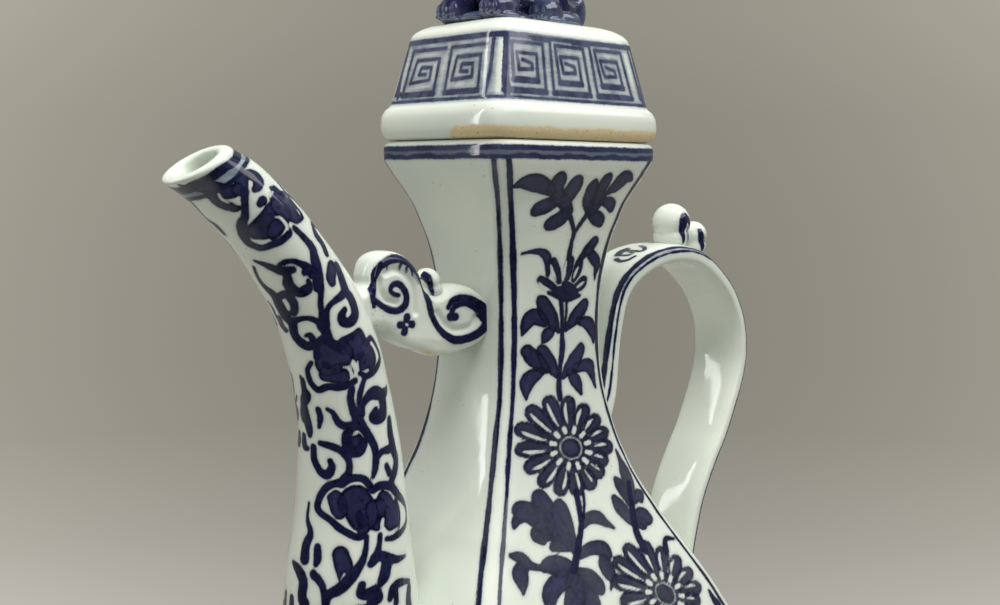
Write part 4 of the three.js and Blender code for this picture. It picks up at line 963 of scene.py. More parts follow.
def leaving_body(places):
    """The row, with its fraction, where each column comes out of the body."""
    hidden = inside_body(places, -0.4)
    rows = np.empty(places.shape[1])
    half_way = len(places) // 2
    for column in range(places.shape[1]):
        inner = np.nonzero(hidden[:half_way, column] < 0)[0]
        row = inner[-1] if len(inner) else 0
        before, after = hidden[row, column], hidden[row + 1, column]
        rows[column] = row + (np.clip(before / (before - after), 0, 1) if after > before else 0)
    return rows


def remeshed(shape, voxel, rounds):
    """The joined outer skin of a shape's overlapping parts, softened."""
    mesh = bpy.data.meshes.new("skin")
    shape.to_mesh(mesh)
    shape.free()
    holder = bpy.data.objects.new("skin", mesh)
    bpy.context.scene.collection.objects.link(holder)
    skin = holder.modifiers.new("skin", "REMESH")
    skin.mode = "VOXEL"
    skin.voxel_size = voxel * MM
    soft = holder.modifiers.new("soft", "SMOOTH")
    soft.iterations = rounds
    soft.factor = 0.5
    graph = bpy.context.evaluated_depsgraph_get()
    finished = bpy.data.meshes.new_from_object(holder.evaluated_get(graph))
    bpy.data.objects.remove(holder)
    finished.shade_smooth()
    return finished


def points_of(mesh):
    """The mesh's points about the vessel's axis, in millimetres."""
    flat = np.empty(len(mesh.vertices) * 3, np.float32)
    mesh.vertices.foreach_get("co", flat)
    return flat.reshape(-1, 3).astype(float) / MM - (AXIS_X, 0, 0)


def normals_of(mesh):
    """The mesh's directions outwards, point by point."""
    flat = np.empty(len(mesh.vertices) * 3, np.float32)
    mesh.vertex_normals.foreach_get("vector", flat)
    return flat.reshape(-1, 3).astype(float)


def move_points(mesh, places):
    """Puts the mesh's points at places about the vessel's axis."""
    moved = ((places + (AXIS_X, 0, 0)) * MM).astype(np.float32)
    mesh.vertices.foreach_set("co", moved.ravel())
    mesh.update()


def keep_fields(mesh, fields):
    """Keeps values by name on the mesh's points, for its material."""
    for layer, values in fields.items():
        kept = mesh.attributes.new(layer, "FLOAT", "POINT")
        kept.data.foreach_set("value", np.asarray(values, np.float32).ravel())


def add_ball(shape, centre, radii, detail=24):
    """A ball with its own radii, in millimetres about the vessel's axis."""
    place = Matrix.Translation((Vector(centre) + Vector((AXIS_X, 0, 0))) * MM)
    size = Matrix.Diagonal((radii[0] * MM, radii[1] * MM, radii[2] * MM, 1))
    bmesh.ops.create_uvsphere(shape, u_segments=detail, v_segments=detail // 2, radius=1,
                              matrix=place @ size)


def add_loft(shape, rings):
    """Rings of points become a closed skin with flat ends."""
    made = []
    for ring in rings:
        made.append([shape.verts.new((np.asarray(point) + (AXIS_X, 0, 0)) * MM) for point in ring])
    for lower, upper in zip(made, made[1:]):
        count = len(lower)
        for k in range(count):
            shape.faces.new((lower[k], lower[(k + 1) % count], upper[(k + 1) % count], upper[k]))
    shape.faces.new(list(reversed(made[0])))
    shape.faces.new(made[-1])


def add_cord(shape, course, sides=14):
    """A round cord along points of x, y, z, radius."""
    line = np.asarray(course, float)
    run = np.gradient(line[:, :3], axis=0)
    run /= np.maximum(np.linalg.norm(run, axis=1), 1e-9)[:, None]
    side = np.cross(run[0], (0, 1, 0) if abs(run[0][1]) < 0.9 else (1, 0, 0))
    angles = np.linspace(0, 2 * math.pi, sides + 1)[:-1]
    rings = []
    for point, ahead in zip(line, run):
        side = side - ahead * np.dot(side, ahead)
        side /= np.linalg.norm(side)
        up = np.cross(ahead, side)
        rings.append(point[:3] + point[3] * (np.cos(angles)[:, None] * side
                                             + np.sin(angles)[:, None] * up))
    add_loft(shape, rings)


class Wire:
    """A shader socket whose sums are written as Python's own."""

    def __init__(self, bench, socket):
        self.bench = bench
        self.socket = socket

    def math(self, operation, *terms):
        return self.bench.node("ShaderNodeMath", {"operation": operation}, terms)

    def __add__(self, other):
        return self.math("ADD", self, other)

    def __sub__(self, other):
        return self.math("SUBTRACT", self, other)

    def __rsub__(self, other):
        return self.math("SUBTRACT", other, self)

    def __mul__(self, other):
        return self.math("MULTIPLY", self, other)

    __radd__ = __add__
    __rmul__ = __mul__

    def at_most(self, other):
        return self.math("MINIMUM", self, other)

    def at_least(self, other):
        return self.math("MAXIMUM", self, other)

    def fade(self, start, stop):
        """0 at start, 1 at stop, and a soft rise between."""
        return self.bench.node("ShaderNodeMapRange", {"interpolation_type": "SMOOTHSTEP"},
                               {"Value": self, "From Min": start, "From Max": stop}, "Result")


class Bench:
    """Builds the nodes of one material, or of the world."""

    def __init__(self, owner, output="ShaderNodeOutputMaterial"):
        self.owner = bpy.data.materials.new(owner) if isinstance(owner, str) else owner
        self.owner.use_nodes = True
        self.tree = self.owner.node_tree
        self.tree.nodes.clear()
        self.output = self.tree.nodes.new(output)

    def node(self, kind, settings=None, inputs=None, output=0):
        made = self.tree.nodes.new(kind)
        for key, value in (settings or {}).items():
            if key == "stops":
                ramp = made.color_ramp.elements
                while len(ramp) < len(value):
                    ramp.new(0.5)
                for element, (place, colour) in zip(ramp, value):
                    element.position = place
                    element.color = colour
            else:
                setattr(made, key, value)
        pairs = inputs.items() if isinstance(inputs, dict) else enumerate(inputs or ())
        for key, value in pairs:
            if isinstance(value, Wire):
                self.tree.links.new(value.socket, made.inputs[key])
            else:
                made.inputs[key].default_value = value
        return Wire(self, made.outputs[output])

    def place(self):
        return self.node("ShaderNodeTexCoord", output="Object")

    def layer(self, name):
        return self.node("ShaderNodeAttribute", {"attribute_name": name}, output="Fac")

    def noise(self, size_mm, detail=2.0, stretch=(1, 1, 1), roughness=0.5):
        """A noise about 0.5 whose cells are about so many millimetres."""
        scale = [1 / (size_mm * MM * part) for part in stretch]
        spread = self.node("ShaderNodeMapping", {}, {"Vector": self.place(), "Scale": scale})
        return self.node("ShaderNodeTexNoise", {}, {"Vector": spread, "Scale": 1.0, "Detail": detail,
                                                    "Roughness": roughness}, "Fac")

    def mix(self, share, first, second):
        """Goes from the first colour to the second by a share from 0 to 1."""
        first, second = (hue if isinstance(hue, Wire) else (*hue[:3], 1) for hue in (first, second))
        return self.node("ShaderNodeMix", {"data_type": "RGBA"}, {0: share, 6: first, 7: second}, 2)

    def toward(self, aim):
        """How far the direction looked in points to the aim, from -1 to 1."""
        looked = self.node("ShaderNodeTexCoord", output="Generated")
        return self.node("ShaderNodeVectorMath", {"operation": "DOT_PRODUCT"}, [looked, aim], "Value")

    def end(self, shader):
        self.tree.links.new(shader.socket, self.output.inputs["Surface"])
        return self.owner

    def finish(self, **inputs):
        """The principled shader that ends the material, from its sockets' names."""
        named = {key.replace("_", " "): value for key, value in inputs.items()}
        return self.end(self.node("ShaderNodeBsdfPrincipled", {}, named))


def grained(hue):
    """The darker grains of fired clay."""
    return [part * 0.62 for part in hue]


def painted_glaze(name, bare=False, slate=False, thinning=None):
    """Clear glaze over cobalt that was brushed on the paste: dark lines, soft washes, pale tints.

    thinning gives two heights in metres: above them the washes are full, and below them thin and grey.
    """
    bench = Bench(name)
    hues = settings()
    line = bench.layer("line")
    wash = bench.layer("wash")
    ragged = bench.noise(1.5, detail=2.0) - 0.5
    wander = bench.noise(5.0) - 0.5
    unsteady = ragged * 0.4 + wander * 0.4
    line_share = (line + unsteady).fade(0.32, -0.28)
    wash_share = (wash + unsteady).fade(0.34, -0.28)
    pale_share = (bench.layer("pale") + ragged * 1.0).fade(0.5, -0.5)
    rim_share = (bench.layer("edge") + unsteady).fade(0.3, -0.3)
    halo = line.at_most(wash).fade(1.5, -0.1) * (0.75 if slate else 0.38)

    cloudy = bench.noise(38, detail=2.0).fade(0.3, 0.7)
    body_hue = bench.mix(cloudy, hues.glaze_light, hues.glaze_deep)
    speck = bench.noise(1.1, detail=0.0).fade(0.80, 0.84) * bench.noise(17).fade(0.5, 0.62)
    body_hue = bench.mix(speck * 0.45, body_hue, hues.iron_speck)

    brushed = bench.noise(1.7, detail=4.0, roughness=0.62).fade(0.3, 0.75)
    full = bench.noise(12, detail=2.0).fade(0.35, 0.62)
    soaked = wash.fade(-1.9, -0.2) * 0.45 + rim_share * 0.5 + full * 0.35 + brushed * 0.3
    wash_hue = bench.mix(soaked.at_most(1.0), hues.cobalt_wash, hues.cobalt_deep)
    heaped = bench.noise(2.4, detail=3.0, roughness=0.7).fade(0.56, 0.68)
    dark_hue = bench.mix(brushed * 0.6 + full * 0.4, hues.cobalt_line, hues.cobalt_deep)
    dark_hue = bench.mix(heaped * 0.8, dark_hue, hues.heaped)
    wash_hue = bench.mix(heaped * 0.5, wash_hue, hues.heaped)
    pale_hue = bench.mix(bench.noise(2.2, detail=3.0, stretch=(3, 3, 0.5)).fade(0.35, 0.7) * 0.7,
                         hues.cobalt_pale, hues.cobalt_tint)
    if thinning:
        height = bench.node("ShaderNodeSeparateXYZ", {}, [bench.place()], "Z")
        grain = bench.noise(14, detail=1.0).fade(0.35, 0.65)
        thinned = height.fade(thinning[1], thinning[0]) * (0.35 + grain * 0.65) * (1.0 - brushed * 0.4)
        thinned = thinned * height.fade(thinning[0] - 0.08, thinning[0] - 0.02)
        wash_hue = bench.mix(thinned * 0.9, wash_hue, hues.cobalt_grey)
        rim = height.fade(0.270, 0.278)
        pale_hue = bench.mix(rim * 0.85, pale_hue, hues.rim_blue)
        dark_hue = bench.mix(rim * (0.3 + full * 0.5), dark_hue, hues.rim_blue)
    colour = bench.mix(halo, body_hue, hues.cobalt_tint)
    streaked = 0.9
    if slate:
        drawn = bench.noise(5.0, detail=3.0, stretch=(1, 1, 2.2)).fade(0.35, 0.7)
        streaked = drawn * 0.4 + line.fade(2.0, 0.0) * 0.3 + 0.12
    colour = bench.mix(pale_share * streaked, colour, pale_hue)
    colour = bench.mix(wash_share, colour, wash_hue)
    if slate:
        thin = bench.noise(5.5, detail=2.0).fade(0.36, 0.62)
        dark_hue = bench.mix(0.35 + thin * 0.5, dark_hue, hues.slate)
    colour = bench.mix(line_share, colour, dark_hue)
    rough = 0.07
    if bare:
        open_clay = (bench.layer("bare") + (bench.noise(6.0, detail=3.0) - 0.5) * 2.4).fade(0.6, -0.5)
        grain = bench.noise(0.7, detail=3.0).fade(0.35, 0.75)
        clay = bench.mix(grain * 0.3, hues.biscuit, grained(hues.biscuit))
        pit = bench.noise(1.3, detail=1.0).fade(0.70, 0.76)
        clay = bench.mix(pit * 0.8, clay, hues.iron_speck)
        colour = bench.mix(open_clay, colour, clay)
        rough = open_clay * 0.5 + 0.07
    bump = bench.node("ShaderNodeBump", {}, {
        "Strength": 0.22, "Distance": 0.25 * MM,
        "Height": bench.noise(7.0, detail=1.0) + bench.noise(1.6, detail=0.0) * 0.06,
    }, "Normal")
    return bench.finish(Base_Color=colour, Roughness=rough, Normal=bump, IOR=1.52)


def length_setting(name, description, default):
    """A length, in metres, that the sidebar shows."""
    return bpy.props.FloatProperty(name=name, description=description, default=default,
                                   unit="LENGTH", subtype="DISTANCE")


def colour_setting(name, description, default):
    """A colour that the sidebar shows."""
    return bpy.props.FloatVectorProperty(name=name, description=description, default=default,
                                         subtype="COLOR")


class EwerSettings(bpy.types.PropertyGroup):
    """Sizes and colours of the ewer."""

    rim_half: length_setting("Rim half length", "Half length of the blue rim", RIM_HALF * MM)
    wall: length_setting("Wall", "Thickness of the body's wall", 5 * MM)
    glaze_light: colour_setting("Light glaze", "Glaze where it lies thin", (0.745, 0.79, 0.705))
    glaze_deep: colour_setting("Deep glaze", "Glaze where it has pooled", (0.68, 0.735, 0.665))
    cobalt_line: colour_setting("Cobalt line", "Cobalt of the brush lines", (0.015, 0.019, 0.060))
    cobalt_deep: colour_setting("Deep cobalt", "Cobalt where the brush was full", (0.0035, 0.005, 0.024))
    cobalt_wash: colour_setting(
        "Cobalt wash", "Cobalt of the filled leaves and petals", (0.032, 0.038, 0.096))
    cobalt_grey: colour_setting(
        "Grey cobalt", "Washes that have lost their blue, low on the body", (0.060, 0.064, 0.086))
    lion_blue: colour_setting("Lion blue", "Full cobalt of the lion", (0.022, 0.027, 0.084))
    lion_thin: colour_setting(
        "Thin lion blue", "Cobalt where the lion's glaze has run thin", (0.125, 0.15, 0.25))
    slate: colour_setting("Slate blue", "Thinner cobalt of the lid's key fret", (0.085, 0.100, 0.170))
    rim_blue: colour_setting("Rim blue", "Thinner cobalt of the band at the rim", (0.045, 0.056, 0.115))
    cobalt_pale: colour_setting("Pale wash", "Thinned cobalt", (0.10, 0.13, 0.19))
    cobalt_tint: colour_setting(
        "Cobalt tint", "The halo that the cobalt leaves in the glaze", (0.36, 0.42, 0.48))
    heaped: colour_setting(
        "Heaped cobalt", "Near black spots in the heaviest cobalt", (0.0015, 0.002, 0.006))
    iron_speck: colour_setting("Iron speck", "Small brown specks in the glaze", (0.20, 0.12, 0.05))
    biscuit: colour_setting("Biscuit", "Bare fired clay", (0.72, 0.59, 0.35))


BODY_WIDE_STEPS = 150
BODY_NARROW_STEPS = 36
# Lines beside each corner: height, then place and half width on the narrow and on the wide face
CORNER_LINES = (
    (120, 4, 3.4, 1.15, 0.9), (142, 3.8, 3.4, 1.15, 0.85), (150, 4.1, 2.8, 1.15, 0.8),
    (168, 3.7, 2.3, 1.1, 0.8), (180, 3.35, 2, 1.05, 0.85), (190, 2.9, 2.1, 1, 0.85),
    (201, 2.1, 2.5, 0.95, 0.9), (222, 2, 2.7, 0.95, 1.1), (246, 2.05, 2.5, 0.9, 1.25),
    (262, 1.75, 2.7, 0.85, 1.2), (270, 1.6, 2.85, 0.85, 1.15), (277, 1.55, 3.6, 0.85, 1.15),
)
# Bands round the rim and the foot: height and half width
RIM_UPPER_LINE = (284.4, 0.85)
RIM_LOWER_LINE = (281.7, 0.8)
RIM_WASH = (283, 2.2)
FOOT_LINES = ((13, 0.5), (17, 0.9))
# Heights between which the corner lines run
CORNER_LINE_ENDS = (14, 281)
# How much narrower a face looks than it is painted, which keeps its flowers round as they are seen
FACE_SQUEEZE = 0.72
# The rim: heights and half lengths up the lip, the blue band's edges, over the lip, and down the mouth
LIP_FOOT = 276.1
LIP_RISE = ((277, 38.3), (278.5, 39.1), (279.8, 39.75), (280.9, 40.1))
RIM_EDGES = (282.5, 284.2)
LIP_TOP = ((285.3, 40.1), (286.1, 39.7), (286.7, 39.1), (287, 38.2))
MOUTH_PROFILE = ((287, 34.5), (286.8, 33.2), (286.1, 32.2), (285, 31.6), (283, 31.4), (272, 31.4))
NECK_WALL_TOP = 264
# Spacing of the painted rows: the lower belly, the upper belly and the neck
LOW_SPACING, HIGH_SPACING, NECK_SPACING = 0.85, 0.72, 0.62
SPACING_CHANGE = 118


def body_fields(places):
    """Paint of the body: corner lines, the rim's band, and the sprays of the wide faces."""
    gaps = corner_gaps(places, BODY_WIDE_STEPS, BODY_NARROW_STEPS)
    heights = places[..., 2]
    painting = Painting(places[..., 0], heights, squeeze=FACE_SQUEEZE)
    face_painting(painting)
    painting.only(gaps > 2)
    stations, *columns = zip(*CORNER_LINES)
    narrow_place, wide_place, narrow_half, wide_half = (
        np.interp(heights, stations, column) for column in columns)
    swell = 0.10 * np.sin(heights * 0.21) + 0.07 * np.sin(heights * 0.53 + 1)
    wide_line = np.abs(gaps - wide_place) - (wide_half + swell)
    narrow_line = np.abs(gaps + narrow_place) - (narrow_half + swell)
    corner = np.maximum(np.minimum(wide_line, narrow_line), heights - CORNER_LINE_ENDS[1])
    corner = np.maximum(corner, CORNER_LINE_ENDS[0] - heights)
    around = places[..., 0] + places[..., 1]
    waver = 0.22 * np.sin(around * 0.31) + 0.14 * np.sin(around * 0.83 + 2)
    upper = np.abs(heights - RIM_UPPER_LINE[0] - 0.3 * waver) - RIM_UPPER_LINE[1]
    lower = np.abs(heights - RIM_LOWER_LINE[0] - waver) - (RIM_LOWER_LINE[1] + 0.4 * waver)
    band = np.abs(heights - RIM_WASH[0]) - RIM_WASH[1]
    foot_band = np.minimum(*(np.abs(heights - height) - half for height, half in FOOT_LINES))
    line = painting.layers["line"]
    line[:] = np.minimum(line, np.minimum.reduce([corner, upper, lower, foot_band]).ravel())
    painting.layers["pale"][:] = np.minimum(painting.layers["pale"], band.ravel())
    return painting.finished()


def hide_seam(mesh):
    """Turns the normals on the seam's outer edge square to the wall, so that the join doesn't show."""
    places = points_of(mesh)
    sides = normals_of(mesh)
    outer = (np.abs(places[:, 2] - SEAM_HEIGHT) < 0.01) & (inside_body(places, -1.0) > 0)
    step = 0.05
    slope = np.column_stack([inside_body(places[outer] + shift) - inside_body(places[outer] - shift)
                             for shift in np.eye(3) * step])
    sides[outer] = slope / np.linalg.norm(slope, axis=1)[:, None]
    mesh.normals_split_custom_set_from_vertices(sides.tolist())


def spaced(low, high, spacing):
    """Even steps of about that spacing, without the last."""
    return np.linspace(low, high, max(2, round((high - low) / spacing) + 1))[:-1]


class EWER_OT_body(bpy.types.Operator):
    """Builds the painted belly and neck"""

    bl_idname = "ewer.body"
    bl_label = "Belly and neck"

    def execute(self, context):
        wall = settings().wall / MM
        glaze = painted_glaze("underglaze_blue", thinning=(0.150, 0.225))
        floor = FOOT_HEIGHT + wall
        heights = np.concatenate([spaced(FOOT_HEIGHT, SPACING_CHANGE, LOW_SPACING),
                                  spaced(SPACING_CHANGE, SEAM_HEIGHT, HIGH_SPACING), [SEAM_HEIGHT]])
        outer = [(z, half_at(z)) for z in heights]
        inner = [(z, half_at(z) - wall) for z in np.linspace(SEAM_HEIGHT, floor + wall, 22)]
        belly = [(FOOT_HEIGHT, 0.01), (FOOT_HEIGHT, outer[0][1] / 2), *outer, *inner,
                 (floor, inner[-1][1] - wall), (floor, 0.01)]
        rim_half = settings().rim_half / MM
        lip = through([(LIP_FOOT, half_at(LIP_FOOT)), *LIP_RISE, *((z, rim_half) for z in RIM_EDGES),
                       *LIP_TOP], 4)
        outside = [(z, half_at(z)) for z in spaced(SEAM_HEIGHT, LIP_FOOT, NECK_SPACING)]
        down = [(z, half_at(z) - wall) for z in np.linspace(NECK_WALL_TOP, SEAM_HEIGHT, 18)]
        neck = [*outside, *lip, *through(MOUTH_PROFILE, 2), *down, outside[0]]
        for name, profile, nodes in (("painted_belly", belly, ["belly"]), ("painted_neck", neck, ["neck"])):
            places = squared_rings(profile, BODY_WIDE_STEPS, BODY_NARROW_STEPS)
            fields = body_fields(places)
            last = len(outer) + 2 if name == "painted_belly" else len(outside) + len(lip)
            for values in fields.values():
                rows = values.reshape(places.shape[:2])
                rows[last:] = Painting.REACH
                if name == "painted_neck":
                    rows[-1] = rows[0]
            mesh = mesh_from_grid(name, places, fields)
            hide_seam(mesh)
            shown(name, mesh, nodes, glaze)
        return {"FINISHED"}


# Foot ring: heights and half lengths down its outside, and up its inside
FOOT_OUTSIDE = ((8, 45.6), (6, 45.9), (3.5, 46.4), (1.6, FOOT_HALF), (0.6, 46.2), (0, 45.5))
FOOT_INSIDE = ((0, 39.5), (0.7, 38.8), (1.6, 38.5), (8, 38.5))
FOOT_BARE_RISE = 0.9
# Steps round the wide and the narrow faces of small rings
RING_STEPS = (60, 46)


class EWER_OT_foot(bpy.types.Operator):
    """Builds the foot ring with its bare resting face"""

    bl_idname = "ewer.foot"
    bl_label = "Foot ring"

    def execute(self, context):
        profile = [*through(FOOT_OUTSIDE, 3), *through(FOOT_INSIDE, 3), FOOT_OUTSIDE[0]]
        places = squared_rings(profile, *RING_STEPS)
        fields = unpainted(places.shape[:2])
        fields["bare"] = np.abs(places[..., 2]) - FOOT_BARE_RISE
        mesh = mesh_from_grid("foot_ring_turned", places, fields)
        shown("foot_ring_turned", mesh, ["foot_ring"], painted_glaze("foot_glaze", bare=True))
        return {"FINISHED"}


SPOUT_COLUMNS = 190
SPOUT_ROWS = 400
SPOUT_LIP = 1.6
# The spout's root: how far it swells where it leaves the body, and over what length
ROOT_SWELL = 1.5
ROOT_RUN = 6


class EWER_OT_spout(bpy.types.Operator):
    """Builds the painted spout with its bore and its rolled lip"""

    bl_idname = "ewer.spout"
    bl_label = "Spout"

    def execute(self, context):
        course = through(scaled(SPOUT_COURSE_SHARES, SPOUT_REACH, VESSEL_HEIGHT, SPOUT_RADIUS), 12)
        course, lengths = evened(course, 600)
        angles = np.linspace(0, 2 * math.pi, SPOUT_COLUMNS + 1)
        tilted = np.array([-math.cos(MOUTH_TILT), -math.sin(MOUTH_TILT)])

        def ring(share, run, radius):
            blend = smooth((share - 1 + MOUTH_BLEND) / MOUTH_BLEND)[:, None]
            square = np.column_stack([-run[:, 1], run[:, 0]])
            direction = square * (1 - blend) + tilted * blend
            direction /= np.linalg.norm(direction, axis=1)[:, None]
            across = radius[:, None] * np.cos(angles)
            return direction, across, -radius[:, None] * np.sin(angles)

        course[:, 2] *= 1 - MOUTH_SLIMMING * smooth((lengths - lengths[-1] + MOUTH_RUN) / MOUTH_RUN)
        outer = tube_places(course, lengths, ring)
        slim = course.copy()
        slim[:, 2] *= SPOUT_BORE_SHARE
        bore = tube_places(slim, lengths, ring)
        start = leaving_body(outer)
        step = lengths[1]
        stop = np.full(start.shape, len(course) - 1 - SPOUT_LIP / step)
        rows, wanted = rows_between(outer, start, stop, SPOUT_ROWS, bias=0.25)
        run = wanted * step
        above = (run - run[0]) / ROOT_RUN
        centre = np.stack([np.interp(run, lengths, course[:, 0]), np.zeros_like(run),
                           np.interp(run, lengths, course[:, 1])], axis=-1)
        outward = rows - centre
        radius = np.linalg.norm(outward, axis=2)
        swell = ROOT_SWELL * np.clip(1 - above, 0, 1) ** 2
        rows = centre + outward * ((radius + swell) / radius)[..., None]
        last_outer = outer[-1]
        last_bore = bore[-1]
        ahead = course[-1, :2] - course[-2, :2]
        ahead /= np.linalg.norm(ahead)
        rise = np.array([ahead[0], 0, ahead[1]])
        middle = (last_outer + last_bore) / 2 - rise * SPOUT_LIP
        roll = [middle + (last_outer - last_bore) / 2 * math.cos(turn) + rise * SPOUT_LIP * math.sin(turn)
                for turn in np.linspace(0, math.pi, 9)[1:-1]]
        inner_rows = rows_between(bore, start, stop, 60)[0]
        places = np.concatenate([rows, roll, inner_rows[::-1], rows[:1]])

        along = lengths[-1] - run
        turned = np.degrees(angles)
        painting = Painting(np.broadcast_to(turned, along.shape), along,
                            squeeze=radius * math.pi / 180, turn=360)
        spout_painting(painting)
        fields = painting.finished()
        for name, values in fields.items():
            whole = np.full((len(places), len(angles)), Painting.REACH)
            whole[:SPOUT_ROWS] = values.reshape(SPOUT_ROWS, len(angles))
            fields[name] = whole
        mesh = mesh_from_grid("painted_spout", places, fields)
        shown("painted_spout", mesh, ["spout_half_left", "spout_half_right"], painted_glaze("spout_blue"))
        return {"FINISHED"}


STRUT_EDGE_INSET = 3.4
GROOVE_DEPTH = 1.1
BUD_BALLS = (((-43.2, 0, 241), (4.3, 5, 4.3)), ((-42.4, 0, 238.2), (4.6, 5, 3.6)))


class EWER_OT_strut(bpy.types.Operator):
    """Builds the scrolled strut between spout and neck, and its bud"""

    bl_idname = "ewer.strut"
    bl_label = "Strut"

    def execute(self, context):
        outline = through(scaled(STRUT_OUTLINE_SHARES, SPOUT_REACH, VESSEL_HEIGHT), 8, closed=True)
        run = np.roll(outline, -1, axis=0) - np.roll(outline, 1, axis=0)
        run /= np.linalg.norm(run, axis=1)[:, None]
        inward = np.column_stack([run[:, 1], -run[:, 0]])
        half = STRUT_WIDTH / 2
        neck_half = half_at(STRUT_ROOT_HEIGHT)
        rings = []
        for turn in np.linspace(-1, 1, 21):
            depth = half * math.sin(turn * math.pi / 2)
            inset = STRUT_EDGE_INSET * (1 - math.cos(turn * math.pi / 2)) ** 1.4
            ring = outline + inward * inset
            spread = 1 + (STRUT_ROOT_WIDTH / STRUT_WIDTH - 1) * np.clip(
                1 - (-neck_half - ring[:, 0]) / STRUT_ROOT_RUN, 0, 1) ** 2
            rings.append(np.column_stack([ring[:, 0], depth * spread, ring[:, 1]]))
        shape = bmesh.new()
        add_loft(shape, rings)
        mesh = remeshed(shape, 0.42, 6)
        places = points_of(mesh)
        sides = normals_of(mesh)
        facing = smooth((np.abs(sides[:, 1]) - 0.45) / 0.4)
        painting = Painting(places[:, 0], places[:, 2])
        for groove in STRUT_GROOVES:
            painting.lay("spared", groove)
        gap = smooth(1 - (painting.layers["spared"] + 0.4) / 1.8)
        places[:, 1] -= np.sign(places[:, 1]) * facing * gap * GROOVE_DEPTH
        move_points(mesh, places)
        painting = Painting(places[:, 0], places[:, 2])
        strut_painting(painting)
        painting.only(facing >= 0.02)
        fields = painting.finished()
        scar = Painting(places[:, 0], places[:, 2])
        scar.lay("line", STRUT_SCAR)
        fields["bare"] = np.where(places[:, 1] < -2, scar.layers["line"], Painting.REACH)
        keep_fields(mesh, fields)
        glaze = painted_glaze("strut_blue", bare=True)
        shown("scrolled_strut", mesh, ["spout_strut"], glaze)

        shape = bmesh.new()
        for centre, radii in BUD_BALLS:
            add_ball(shape, centre, radii)
        bud = remeshed(shape, 0.35, 3)
        spots = points_of(bud)
        painting = Painting(spots[:, 0], spots[:, 2])
        strut_painting(painting)
        painting.only(np.abs(spots[:, 1]) >= 1.2)
        keep_fields(bud, {**painting.finished(), "bare": np.full(len(spots), Painting.REACH)})
        shown("strut_bud_rolled", bud, ["strut_bud"], glaze)
        return {"FINISHED"}


HANDLE_COLUMNS = 104
HANDLE_ROWS = 520
HANDLE_SQUARENESS = 0.55


def squared(wave):
    """A sine or cosine drawn out towards a square one."""
    return np.sign(wave) * np.abs(wave) ** HANDLE_SQUARENESS


class EWER_OT_handle(bpy.types.Operator):
    """Builds the strap handle with its two blue lines"""

    bl_idname = "ewer.handle"
    bl_label = "Handle"

    def execute(self, context):
        course = through(scaled(HANDLE_COURSE_SHARES, HANDLE_REACH, VESSEL_HEIGHT, HANDLE_THICKNESS), 12)
        course, lengths = evened(course, 1000)
        angles = np.linspace(0, 2 * math.pi, HANDLE_COLUMNS + 1)
        bend = angles + 0.10 * np.sin(4 * angles)

        def ring(share, run, thick):
            from_end = np.minimum(share, 1 - share) / HANDLE_FLARE_RUN
            flare = 1 + HANDLE_FLARE * (1 - smooth(from_end))
            direction = np.column_stack([-run[:, 1], run[:, 0]])
            across = thick[:, None] * squared(np.cos(bend))
            deep = (flare * HANDLE_WIDTH / 2)[:, None] * squared(np.sin(bend))
            return direction, across, -deep

        whole = tube_places(course, lengths, ring)
        start = leaving_body(whole)
        stop = len(whole) - 1 - leaving_body(whole[::-1])
        places, wanted = rows_between(whole, start, stop, HANDLE_ROWS)
        gaps = np.linalg.norm(np.diff(places, axis=1), axis=2)
        around = np.concatenate([np.zeros((len(places), 1)), np.cumsum(gaps, axis=1)], axis=1)
        around = np.minimum(around, around[:, -1:] - around)
        along = wanted * lengths[1]
        fields = handle_fields(places, around, along)
        mesh = mesh_from_grid("strap_handle", places, fields)
        shown("strap_handle", mesh, ["handle"], painted_glaze("handle_blue"))
        return {"FINISHED"}


# Tie scrolls: piece, node, centre across and up, radius, and strokes about that centre
TIE_SCROLLS = (
    ("tie_scroll_big", "tie_scroll_large", (85.4, 257.4), 7.7, (
        ("line", (-1, -7.6, 0.6, -1.5, -5.2, 1, -1.8, -3.1, 1.4, -1.6, -0.5, 2, -1.2, 1.6, 1.9, 0, 2.4, 1.7,
                  1.4, 1.4, 1.5, 2.9, -0.5, 1.25, 4.3, -3.1, 1.15, 5, -5.7, 1.1, 5.5, -7.6, 1)),
        ("pale", (1.1, -1.8, 0.6, 1.4, -4.4, 1.2, 2.1, -7, 1.4)),
    )),
    ("tie_scroll_little", "tie_scroll_small", (99.8, 252.1), 5.6, (
        ("line", (-1.7, 1.8, 1.1, -1.4, 0, 1.45, -1, -2.2, 1.45, -0.5, -4.2, 1.2, 0, -6, 0.8)),
        ("pale", (0.9, 0.4, 0.4, 1.2, -2.6, 0.5)),
    )),
)
# The ball below each: how far down, and its radii along, across and up, as shares of the radius
TIE_FOOT_DROP = 0.72
TIE_FOOT = (0.85, 1, 0.8)


class EWER_OT_scrolls(bpy.types.Operator):
    """Builds the two tie scrolls on the handle"""

    bl_idname = "ewer.scrolls"
    bl_label = "Tie scrolls"

    def execute(self, context):
        glaze = painted_glaze("scroll_blue")
        for name, node, centre, radius, strokes in TIE_SCROLLS:
            shape = bmesh.new()
            x, z = centre
            add_ball(shape, (x, 0, z), (radius, radius, radius), detail=32)
            add_ball(shape, (x, 0, z - radius * TIE_FOOT_DROP), [radius * share for share in TIE_FOOT],
                     detail=32)
            mesh = remeshed(shape, 0.4, 8)
            places = points_of(mesh)
            painting = Painting(places[:, 0] - x, places[:, 2] - z)
            for layer, stroke in strokes:
                painting.lay(layer, stroke)
            painting.only(np.abs(places[:, 1]) >= 1.5)
            keep_fields(mesh, painting.finished())
            shown(name, mesh, [node], glaze)
        return {"FINISHED"}


LID_WIDE_STEPS = 200
LID_NARROW_STEPS = 150
LID_WALL = 5
